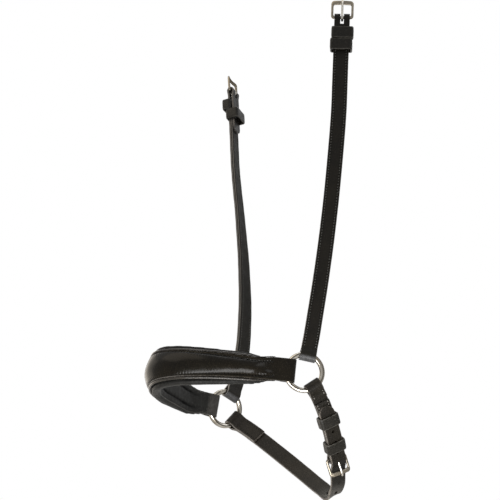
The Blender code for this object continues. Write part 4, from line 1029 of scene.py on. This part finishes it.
class NoseShape:
    """How wide and deep the nosepiece is at each length along its route."""

    def __init__(self, route):
        self.route = route

    def from_end(self, length):
        return min(length, self.route.length - length)

    def share_from(self, start, length):
        """Return the share of the way from a start near the ring to the middle of the front."""
        share = (self.from_end(length) - start) / (self.route.length / 2 - start)
        return min(max(share, 0.0), 1.0)

    def face_half(self, length):
        """Return half the panel's width: a flared end, a waist, and a wide front."""
        flare = 1.0 - ease((self.from_end(length) - FACE_END_STRAIGHT)
                           / (FACE_WAIST_AT - FACE_END_STRAIGHT))
        width = FACE_WAIST_WIDTH + (FACE_END_WIDTH - FACE_WAIST_WIDTH) * flare
        width += (FACE_FRONT_WIDTH - FACE_WAIST_WIDTH) * self.share_from(FACE_WAIST_AT, length)
        return width / 2

    def seam_half(self, length):
        """Return how far from the middle the two seams beside the raised face are."""
        spread = ease(self.share_from(SEAM_SPREAD_AT, length))
        return (SEAM_END_WIDTH + (SEAM_FRONT_WIDTH - SEAM_END_WIDTH) * spread) / 2

    def crown_at(self, length, across):
        """Return how far the raised face stands up, at a distance from the middle."""
        inside = abs(across) / self.seam_half(length)
        if inside >= 1.0:
            return 0.0
        rise = ease((self.from_end(length) - CROWN_START) / CROWN_RISE)
        flatness, fullness = CROWN_POWERS
        return CROWN_HEIGHT * rise * (1.0 - inside**flatness) ** fullness

    def pad_half(self, length):
        spread = self.share_from(PAD_END, length) ** PAD_WIDTH_POWER
        spread *= ease((self.from_end(length) - PAD_END) / PAD_WIDTH_RISE)
        return (PAD_END_WIDTH + (PAD_FRONT_WIDTH - PAD_END_WIDTH) * spread) / 2

    def pad_depth(self, length):
        grow = ease((self.from_end(length) - PAD_END) / PAD_DEPTH_RISE)
        return PAD_END_DEPTH + (PAD_FRONT_DEPTH - PAD_END_DEPTH) * grow

    def pad_outer(self, length):
        """Return the stand-off of the pad's outer face, which clears the turned end."""
        end = self.from_end(length)
        turned = TURN_OFF - FACE_LEATHER / 2 - GAP
        bulge = PAD_END_BULGE * (1.0 - ease((end - PAD_END) / PAD_END_BULGE_LENGTH))
        away = ease((end - FACE_TURN - PAD_PAST_TURN) / PAD_STEP_LENGTH)
        return turned - (PAD_SET_BACK + turned) * away - bulge

    def pad_middle(self, length):
        return self.pad_outer(length) - self.pad_depth(length) / 2

    def pad_point(self, length, degrees, inset):
        """Return across and stand-off of a point on the pad's outline."""
        across, up = squared(math.radians(degrees), PAD_SQUARENESS)
        half, depth = self.pad_half(length) - inset, self.pad_depth(length) / 2 - inset
        return half * across, self.pad_middle(length) - depth * up

    def channel(self, length, across):
        """Return how deep the sewn channels lie at a place on the pad's inner side."""
        strength = ease((self.from_end(length) - PAD_GROOVE_START) / PAD_GROOVE_RISE)
        off_line = abs(across) - PAD_GROOVE_AT * self.pad_half(length)
        return 1.35 * PAD_GROOVE * strength * bell(off_line, 0.55 * PAD_GROOVE_WIDTH)


FACE_COLUMNS = mirrored((0.0, 0.12, 0.24, 0.36, 0.48, 0.58, 0.67, 0.74, 0.80, 0.85, 0.89, 0.925,
                         0.955, 0.98, 1.0, 1.15, 1.3, 1.5, 1.75, 2.0))


def make_nosepiece(near, far):
    """Make the raised face, the hidden backing, the piping and the pad."""
    route = nose_route(near, far)
    shape = NoseShape(route)
    length = route.length
    seam_start, seam_end = FACE_SEAM_START, length - FACE_SEAM_START
    sag = near.sag(FACE_END_WIDTH / 2)
    radius = RING_WIRE / 2 + GAP + NOSE_LOOP_PLAY + FACE_LEATHER / 2
    sizes = (NOSE_MIDDLE, (FACE_OFF - TURN_OFF) / 2, radius)
    near_fold = fold(-sag, *sizes, -1, sag + MM, FACE_FOLD_BLEND)
    far_fold = fold(length + sag, *sizes, 1, sag + MM, FACE_FOLD_BLEND)[::-1]
    front = steps_between(near_fold[-1][0], far_fold[0][0], PANEL_STEP)[1:-1]
    line = flat_run(FACE_TURN, near_fold[0][0], TURN_OFF)[:-1] + near_fold
    line += [(at, FACE_OFF) for at in front]
    line += far_fold + flat_run(far_fold[-1][0], length - FACE_TURN, TURN_OFF)[1:]

    def column_at(at, column):
        """Place the panel's columns: up to 1 within the seams, from 1 to 2 outside of them."""
        seam_at, edge_at = shape.seam_half(at), shape.face_half(at)
        if abs(column) <= 1.0:
            return column * seam_at
        return math.copysign(seam_at + (edge_at - seam_at) * (abs(column) - 1.0), column)

    def hole(at):
        return math.sqrt(stitched(at, seam_start, seam_end, STITCH_LENGTH / 2))

    def groove_at(at):
        from_start = shape.from_end(at) - FACE_SEAM_START
        return FACE_GROOVE * ease((from_start + FACE_GROOVE_EARLY) / FACE_GROOVE_RISE)

    # The stitch pits' share also paints them darker as shade.
    def face_pit(at, off, across):
        near_seam = bell(abs(across) - shape.seam_half(at), STITCH_PIT_WIDTH)
        return hole(at) * near_seam if off > 0.0 else 0.0

    def face_lift(at, off, across):
        if off < 0.0:
            return 0.0
        seam_at, end = shape.seam_half(at), shape.from_end(at)
        from_seam = abs(across) - seam_at
        pucker = PUCKER * bell(from_seam + PUCKER_OFF_SEAM, PUCKER_WIDTH)
        bulge = (bell(end - BULGE_AT, BULGE_LENGTH)
                 * bell(across + seam_at - BULGE_OFF_SEAM, BULGE_WIDTH))
        wave = math.sin(at / MM * 0.42 + across / MM * 0.25)
        return (shape.crown_at(at, across) - STITCH_PIT * face_pit(at, off, across)
                - groove_at(at) * bell(from_seam, FACE_GROOVE_WIDTH)
                + pucker * (1.0 - 2.0 * hole(at)) + BULGE_HEIGHT * bulge
                + PULL_HEIGHT * bell(end - PULL_AT, PULL_LENGTH) * wave)

    widths = [shape.face_half(at) for at, _ in line]
    made = strap("nose_panel", route, line, widths, FACE_LEATHER, (PANEL, EDGE), FACE_COLUMNS,
                 face_lift, column_at, face_pit, lambda at, off: 0.8 if off < NOSE_MIDDLE else 0.0,
                 uneven=0.8)
    settle(made, "nosepiece", "nose_face_panel", "nose_raised_filler")

    backing_line = flat_run(BACKING_END, length - BACKING_END, -BACKING_LAYER / 2)
    widths = [shape.face_half(at) - BACKING_INSET for at, _ in backing_line]
    made = strap("nose_backing", route, backing_line, widths, BACKING_LAYER, (BRIDLE, EDGE))
    settle(made, "nosepiece", "nose_backing_strap")

    runs = seams(route, seam_start, seam_end,
                 lambda a: FACE_OFF + FACE_LEATHER / 2 - groove_at(a) - THREAD_SUNK,
                 shape.seam_half)
    settle(stitches("nose_panel_stitches", runs, BLACK_THREAD), "nosepiece")

    for name, side in (("upper", 1), ("lower", -1)):
        points, radius = [], []
        for at in steps_between(PIPING_END, length - PIPING_END, PIPING_STEP):
            end = shape.from_end(at) - PIPING_END
            full = PIPING_END_SHARE + (1.0 - PIPING_END_SHARE) * ease(end / PIPING_TAPER)
            across = shape.face_half(at) + GAP + PIPING_CORD / 2 * full
            points.append(route.place(at, 0.0, side * across))
            radius.append(PIPING_CORD / 2 * full * math.sqrt(min(0.25 + end / PIPING_DOME, 1.0)))
        made = rod("nose_piping_cord_" + name, points, radius, PIPE)
        settle(made, "nosepiece", "nose_piping_" + name)
    make_pad(route, shape)


def swell(item):
    """Blow the pad up a little with a cloth simulation, so its leather lies like leather."""
    remesh = item.modifiers.new("remesh", "REMESH")
    remesh.mode, remesh.voxel_size = "VOXEL", CLOTH_CELL
    mesh = drawn_mesh(item)
    rest = np.array([v.co for v in mesh.vertices])
    normals = np.array([v.normal for v in mesh.vertices])
    cloth = item.modifiers.new("cloth", "CLOTH")
    cloth.settings.use_pressure = True
    cloth.settings.uniform_pressure_force = CLOTH_PRESSURE
    cloth.settings.tension_stiffness = 20.0
    cloth.settings.bending_stiffness = 2.0
    cloth.settings.effector_weights.gravity = 0.0
    cloth.point_cache.frame_start, cloth.point_cache.frame_end = 1, CLOTH_FRAMES
    for number in range(1, CLOTH_FRAMES + 1):
        bpy.context.scene.frame_set(number)
    drawn = item.evaluated_get(bpy.context.evaluated_depsgraph_get())
    shift = np.array([v.co for v in drawn.to_mesh().vertices]) - rest
    item.modifiers.clear()
    bpy.context.scene.frame_set(1)
    shift -= normals * np.minimum((shift * normals).sum(axis=1, keepdims=True), 0.0)
    reach = np.linalg.norm(shift, axis=1, keepdims=True)
    return rest + shift * np.minimum(1.0, SWELL_CAP / np.maximum(reach, 1e-9))


def make_pad(route, shape):
    """Make the leather-covered pad, with its two sewn channels on the inner side."""
    rows = []
    inset = PAD_INSET
    places = steps_between(PAD_END, route.length - PAD_END, FINE_STEP)
    for i, at in enumerate(places):
        from_edge = min(i, len(places) - 1 - i)
        shrink = PAD_DOMES[from_edge] if from_edge < len(PAD_DOMES) else 1.0
        centre = shape.pad_middle(at)
        outline = [shape.pad_point(at, 360.0 * k / PAD_SIDES, inset) for k in range(PAD_SIDES)]
        narrow = 0.9 + 0.1 * shrink
        rows.append([route.place(at, centre + (off - centre) * shrink, across * narrow)
                     for across, off in outline])
    item = add_object("nose_pad", grid("nose_pad", rows, "capped"))
    spots = swell(item)

    lengths = np.linspace(0.0, route.length, 700)
    line = np.array([route.at(a)[0] for a in lengths])
    finished, pits = [], []
    for spot in spots:
        nearest = lengths[int(np.argmin(((line - spot) ** 2).sum(axis=1)))]
        place, way, _, _ = route.at(nearest)
        at = nearest + float(np.dot(spot - place, way))
        place, _, width, out = route.at(at)
        across, off = float(np.dot(spot - place, width)), float(np.dot(spot - place, out))
        middle = shape.pad_middle(at)
        from_panel = abs(across) - shape.face_half(at) - PIPING_CORD * 0.8
        sunk = 0.0
        if off < middle:
            sunk = shape.channel(at, across)
            crease = bell(abs(across) - PAD_GROOVE_AT * shape.pad_half(at), CREASE_WIDTH)
            crease *= math.sin(at / MM * 0.9 + 0.35 * math.sin(at / MM * 0.21))
            off += sunk + CREASE_HEIGHT * crease
        elif from_panel < 0.0:
            off = min(off, shape.pad_outer(at))
        else:
            strength = ease((shape.from_end(at) - ROLL_START) / ROLL_RISE)
            off += (ROLL_HEIGHT * strength * ease(from_panel / ROLL_BLEND)
                    * ease((off - middle) / ROLL_BLEND))
        finished.append(place + (off + ripple(at, across, 1.6)) * out + across * width)
        # The channels' depth is also the "pit" share, which paints them darker as shade.
        pits.append(min(1.4 * sunk / PAD_GROOVE, 1.0))
    item.data.vertices.foreach_set("co", np.ravel(finished))
    item.data.attributes.new("pit", "FLOAT", "POINT").data.foreach_set("value", pits)
    item.data.update()
    item.data.shade_smooth()
    item.data.materials.append(SOFT)
    subdivision = item.modifiers.new("smooth", "SUBSURF")
    subdivision.levels = subdivision.render_levels = 1
    settle(item, "nosepiece", "nose_pad_lining", "nose_pad_foam")

    for name, degrees in (("upper", WELT_ANGLE), ("lower", 180.0 - WELT_ANGLE)):
        points = []
        for at in steps_between(PAD_GROOVE_START, route.length - PAD_GROOVE_START, FINE_STEP):
            across, off = shape.pad_point(at, degrees, 0.0)
            points.append(route.place(at, off - 0.15 * WELT_ROUND, across))
        made = rod("nose_pad_welt_" + name, points, [WELT_ROUND / 2] * len(points), WELT, 10)
        settle(made, "nosepiece")

    def inner_face(at):
        lie = (1.0 - PAD_GROOVE_AT**PAD_SQUARENESS) ** (1 / PAD_SQUARENESS)
        sunk = shape.channel(at, PAD_GROOVE_AT * shape.pad_half(at))
        return shape.pad_middle(at) - shape.pad_depth(at) / 2 * lie + sunk + PAD_THREAD_LIFT

    runs = seams(route, PAD_SEAM_START, route.length - PAD_SEAM_START, inner_face,
                 lambda a: PAD_GROOVE_AT * shape.pad_half(a), -1.0)
    settle(stitches("nose_pad_stitches", runs, BLACK_THREAD), "nosepiece")


# Chin strap

CHAPE_PITCH = CHAPE_LAYER + GAP
CHIN_RING_MIDDLE = CHAPE_PITCH / 2
CHIN_ON_CHAPE = CHAPE_PITCH + CHAPE_LAYER / 2 + GAP + CHIN_LAYER / 2
CHIN_FAR_PITCH = CHIN_LAYER + GAP


def chin_route(near, far):
    ring_line = np.array([RING_BACK, 0.0, -RING_DROP])
    middle = [ring_line + np.array(point) * MM for point in CHIN_ROUTE]
    ends = []
    for ring, toward, off in ((near, middle[0], CHIN_RING_MIDDLE),
                              (far, middle[-1], -CHIN_FAR_PITCH / 2)):
        at = CHIN_LOOP_AT[ring.side]
        spot, tangent = ring.wire_point(at), ring.tangent(at)
        way = square_to(toward - spot, tangent)
        run = way if ring is near else -way
        out = np.cross(run, tangent)
        sideways = -0.5 * ring.sag(STRAP_WIDTH / 2) * np.dot(ring.radial(at), out)
        start = spot + (sideways - off) * out
        ends.append((start, start + 10.0 * MM * way, tangent))
    (near_start, near_next, near_width), (far_start, far_next, far_width) = ends
    points = [near_start, near_next] + middle[1:-1] + [far_next, far_start]
    near_way, far_way = np.array(CHIN_NEAR_WIDTH_WAY), np.array(CHIN_FAR_WIDTH_WAY)
    inner = len(middle) - 2
    widths = [near_width, near_width]
    for i in range(inner):
        turn = ease((i - 2.0) / (inner - 4.0))
        widths.append((1 - turn) * near_way + turn * far_way)
    widths += [far_width, far_width]
    return Route(points, widths, 1)


def make_chin(near, far):
    """Make the chape with its buckle, the buckled strap and the two keepers."""
    route = chin_route(near, far)
    half, bar_at = STRAP_WIDTH / 2, CHIN_BAR_AT
    bar_radius = BAR_INNER_RADIUS + CHAPE_LAYER / 2
    ring_radius = RING_WIRE / 2 + GAP + CHIN_LOOP_PLAY + CHAPE_LAYER / 2
    ring_fold = fold(-near.sag(half) + CHIN_LOOP_PLAY, CHIN_RING_MIDDLE, CHAPE_PITCH / 2,
                     ring_radius, -1, blend=CHIN_FOLD_RISE)
    bar_fold = fold(bar_at, CHIN_RING_MIDDLE, CHAPE_PITCH / 2, bar_radius, 1, 0.0, CHIN_FOLD_RISE)
    line = [(CHAPE_RING_TURN, CHAPE_PITCH)] + ring_fold[::-1]
    line += flat_run(ring_fold[0][0], bar_fold[0][0], 0.0)[1:-1] + bar_fold
    line += flat_run(bar_fold[-1][0], CHAPE_BUCKLE_TURN_AT, CHAPE_PITCH)[1:]
    chape = strap("chin_chape_leather", route, line, half, CHAPE_LAYER, (CHIN_LEATHER, EDGE))

    bar_place, way, _, out = route.at(bar_at)
    bar = bar_place + CHIN_RING_MIDDLE * out
    lift = math.radians(CHIN_FRAME_LIFT)
    front_way = math.cos(lift) * way + math.sin(lift) * out
    face_way = -math.sin(lift) * way + math.cos(lift) * out
    tongue_slot(chape, frame_matrix(bar, np.cross(way, out), way, out), CHIN_TONGUE_SLOT)
    settle(chape, "chin", "chin_chape")
    buckle("chin", frame_matrix(bar, np.cross(front_way, face_way), front_way, face_way),
           "chin_buckle", "chin_tongue", "chin")

    runs, across = [], STRAP_SEAM * half
    for start, end, off, face in (
            (CHAPE_SEAM_START, CHAPE_RING_TURN - MM, CHAPE_PITCH + CHAPE_LAYER / 2, 1.0),
            (CHAPE_BUCKLE_TURN_AT + MM, CHAPE_SEAM_END, CHAPE_PITCH + CHAPE_LAYER / 2, 1.0),
            (CHAPE_SEAM_START + 0.5 * MM, CHAPE_SEAM_END, -CHAPE_LAYER / 2, -1.0)):
        runs += seams(route, start, end, off, across, face)
    settle(stitches("chin_chape_stitches", runs, PALE_THREAD), "chin")

    make_chin_strap(route, far, bar_radius)
    room = half + CHIN_KEEPER_PLAY
    low = -CHAPE_LAYER / 2 - 2 * GAP
    high = CHIN_ON_CHAPE + CHIN_LAYER / 2 + 2 * GAP
    keeper("chin_keeper_runner", route, CHIN_RUNNER_AT, -room, room, low, high,
           "chin_runner", "chin_runner_keeper")
    keeper("chin_keeper_fixed", route, bar_at - CHIN_FIXED_BELOW_BAR - KEEPER_HEIGHT, -room, room,
           low, high, "chin", "chin_fixed_keeper")


def make_chin_strap(route, far, bar_radius):
    """Make the strap that lies on the chape, passes the buckle and turns round the far ring."""
    half = STRAP_WIDTH / 2
    bar_top = CHIN_RING_MIDDLE + bar_radius + CHAPE_LAYER / 2 + GAP + CHIN_LAYER / 2
    lift = math.radians(CHIN_FRAME_LIFT)
    front_at = CHIN_BAR_AT + FRONT_BAR_MIDDLE * math.cos(lift)
    under_front = (CHIN_RING_MIDDLE + FRONT_BAR_MIDDLE * math.sin(lift) - BUCKLE_THICKNESS / 2
                   - 2 * GAP - CHIN_LAYER / 2 - BUCKLE_FRONT_BAR / 2 * math.sin(lift))
    stands = ((CHIN_BAR_AT - CHIN_FOLD_RISE, CHIN_ON_CHAPE), (CHIN_BAR_AT, bar_top),
              (front_at, under_front), (CHIN_FREE_AT, 0.0))

    def stand_off(at):
        for (start, low), (end, high) in zip(stands, stands[1:]):
            if at <= end:
                return low + (high - low) * ease((at - start) / (end - start))
        return 0.0

    loop_radius = RING_WIRE / 2 + GAP + CHIN_LOOP_PLAY + CHIN_LAYER / 2
    far_fold = fold(route.length + far.sag(half) - CHIN_LOOP_PLAY, -CHIN_FAR_PITCH / 2,
                    CHIN_FAR_PITCH / 2, loop_radius, 1)[::-1]
    tip = strap_tip(CHIN_TIP_AT, half)
    places = [at for at, _ in tip]
    places += steps_between(CHIN_TIP_AT + half, far_fold[0][0], CHIN_STEP)[:-1]
    line = [(at, stand_off(at)) for at in places] + far_fold
    line += flat_run(far_fold[-1][0], route.length - CHIN_FAR_TURN, -CHIN_FAR_PITCH)[1:]
    widths = [width for _, width in tip] + [half] * (len(line) - len(tip))
    # The chin strap's curve is painted paler as a highlight.
    made = strap("chin_strap_leather", route, line, widths, CHIN_LAYER, (CHIN_LEATHER, PALE_EDGE),
                 bend=lambda at, off: 0.6 * bell(at - CHIN_BEND_AT, CHIN_BEND_LENGTH),
                 edge=CHIN_EDGE_ROUND)

    body = bmesh.new()
    for number in range(-HOLES_BEFORE, HOLES_AFTER + 1):
        at = CHIN_BAR_AT + HOLE_PAST_BAR + number * HOLE_SPACING
        _, way, width, out = route.at(at)
        way = unit(way + (stand_off(at + MM) - stand_off(at - MM)) / (2 * MM) * out)
        place = frame_matrix(route.place(at, stand_off(at)), width, way, np.cross(width, way))
        drill = bmesh.ops.create_cone(body, cap_ends=True, segments=28, radius1=HOLE_ROUND / 2,
                                      radius2=HOLE_ROUND / 2, depth=3 * CHIN_LAYER)
        stretch = HOLE_STRETCH / HOLE_ROUND if number == 0 else 1.0
        bmesh.ops.scale(body, vec=(0.8, stretch * 0.8, 1.0), verts=drill["verts"])
        bmesh.ops.transform(body, matrix=place, verts=drill["verts"])
    bmesh.ops.recalc_face_normals(body, faces=body.faces)
    cut(made, body)
    settle(made, "chin", "chin_strap")

    start, end = route.length - CHIN_FAR_TURN + 2 * MM, route.length - CHIN_SEAM_SHORT
    runs = seams(route, start, end, CHIN_LAYER / 2, STRAP_SEAM * half)
    runs += seams(route, start, end, -CHIN_FAR_PITCH - CHIN_LAYER / 2, STRAP_SEAM * half, -1.0)
    settle(stitches("chin_strap_stitches", runs, BLACK_THREAD), "chin")


# Studio

WHITE = (1.0, 1.0, 1.0)
WARM = (1.0, 0.87, 0.69)
LAMPS = (("lamp_front", (-1.15, -0.15, 1.25), (1.5, 1.2), 14.0, WARM),
         ("lamp_near", (0.9, -1.6, 0.9), (0.9, 0.9), 8.0, WHITE),
         ("lamp_top", (0.3, 0.2, 1.7), (1.2, 1.2), 11.0, WHITE),
         ("lamp_far", (0.9, 1.5, 0.6), (1.0, 1.0), 6.5, WHITE),
         ("lamp_low", (-0.13, -0.185, -0.32), (0.34, 0.12), 2.7, WHITE),
         ("lamp_rim", (-0.42, 1.05, 0.20), (1.2, 1.2), 7.0, WARM))
LAMP_CENTRE = (0.09, 0.0, 0.12)
FLOOR_CENTRE = (0.09, 0.0, -0.24)
FLOOR_RADIUS = 6.0
DIM_WORLD = 0.45
CAMERA_PLACE = (-1103.2 * MM, -1891.2 * MM, -601.6 * MM)
CAMERA_RIGHT = (0.8669, -0.4985, 0.0)
CAMERA_LOOK = (0.4713, 0.8197, 0.3256)
SENSOR_WIDTH = 36.0
FOCAL_SHARE = 2219.0 / 500.0


def seen_rays(nodes):
    """Return 1 for rays that show the surroundings: camera, glossy and transmission rays."""
    rays = nodes.add("LightPath")
    seen = nodes.math("MAXIMUM", rays["Is Camera Ray"], rays["Is Glossy Ray"])
    return nodes.math("MAXIMUM", seen, rays["Is Transmission Ray"])


def make_world():
    """Make surroundings that light dimly and are seen white."""
    world = bpy.data.worlds.new("studio")
    world.use_nodes = True
    world.node_tree.nodes.clear()
    nodes = Nodes(world.node_tree)
    dim, white = [nodes.add("Background", {"Color": WHITE, "Strength": strength})[0]
                  for strength in (DIM_WORLD, 1.0)]
    mix = nodes.add("MixShader", {"Fac": seen_rays(nodes), 1: dim, 2: white})[0]
    nodes.add("OutputWorld", {"Surface": mix})
    bpy.context.scene.world = world


def make_floor():
    """Make the pale floor: it keeps the shadow, fades to white, and is open from below."""
    body = bmesh.new()
    bmesh.ops.create_circle(body, cap_ends=True, segments=96, radius=FLOOR_RADIUS)
    made = bpy.data.materials.new("floor")
    made.use_nodes = True
    made.node_tree.nodes.clear()
    floor = add_object("floor", mesh_of("floor", body, smooth=False), made)
    floor.location = FLOOR_CENTRE

    nodes = Nodes(made.node_tree)
    spot = nodes.add("TexCoord")["Object"]
    reach = nodes.add("VectorMath", {0: spot}, operation="LENGTH")["Value"]
    fade = nodes.add("MapRange", {"Value": reach, "From Min": 0.35, "From Max": 1.5},
                     interpolation_type="SMOOTHSTEP")["Result"]
    grain = nodes.add("TexNoise", {"Vector": spot, "Scale": 9.0})["Fac"]
    tint = nodes.mix(grain, (0.86, 0.86, 0.855), (0.90, 0.90, 0.895))
    paint = nodes.add("BsdfDiffuse", {"Color": tint})[0]
    glow = nodes.add("Emission", {"Color": WHITE})[0]
    far_off = nodes.math("MULTIPLY", fade, seen_rays(nodes))
    above = nodes.add("MixShader", {"Fac": far_off, 1: paint, 2: glow})[0]
    below = nodes.add("BsdfTransparent")[0]
    under = nodes.add("NewGeometry")["Backfacing"]
    surface = nodes.add("MixShader", {"Fac": under, 1: above, 2: below})[0]
    nodes.add("OutputMaterial", {"Surface": surface})


def make_studio():
    """Make the floor, the soft lamps, the white surroundings and the camera."""
    scene = bpy.context.scene
    scene.view_settings.view_transform = "Standard"
    make_world()
    make_floor()
    for name, offset, size, power, colour in LAMPS:
        data = bpy.data.lights.new(name, "AREA")
        data.shape, data.energy, data.color = "RECTANGLE", power, colour
        data.size, data.size_y = size
        lamp = bpy.data.objects.new(name, data)
        scene.collection.objects.link(lamp)
        lamp.visible_camera = False
        back = unit(offset)
        side = square_to(np.array([0.9, -0.4, 0.1]), back)
        spot = np.add(LAMP_CENTRE, offset)
        lamp.matrix_world = frame_matrix(spot, side, np.cross(back, side), back)

    right, look = unit(CAMERA_RIGHT), unit(CAMERA_LOOK)
    data = bpy.data.cameras.new("camera")
    data.sensor_width, data.lens = SENSOR_WIDTH, FOCAL_SHARE * SENSOR_WIDTH
    data.clip_start, data.clip_end = 0.05, 60.0
    camera = bpy.data.objects.new("camera", data)
    scene.collection.objects.link(camera)
    spot = np.add((RING_BACK, 0.0, -RING_DROP), CAMERA_PLACE)
    camera.matrix_world = frame_matrix(spot, right, np.cross(right, look), -look)
    scene.camera = camera


rings = Ring(NEAR), Ring(FAR)
make_studio()
for steel_ring in rings:
    make_ring(steel_ring)
    make_cheek(steel_ring)
make_nosepiece(*rings)
make_chin(*rings)
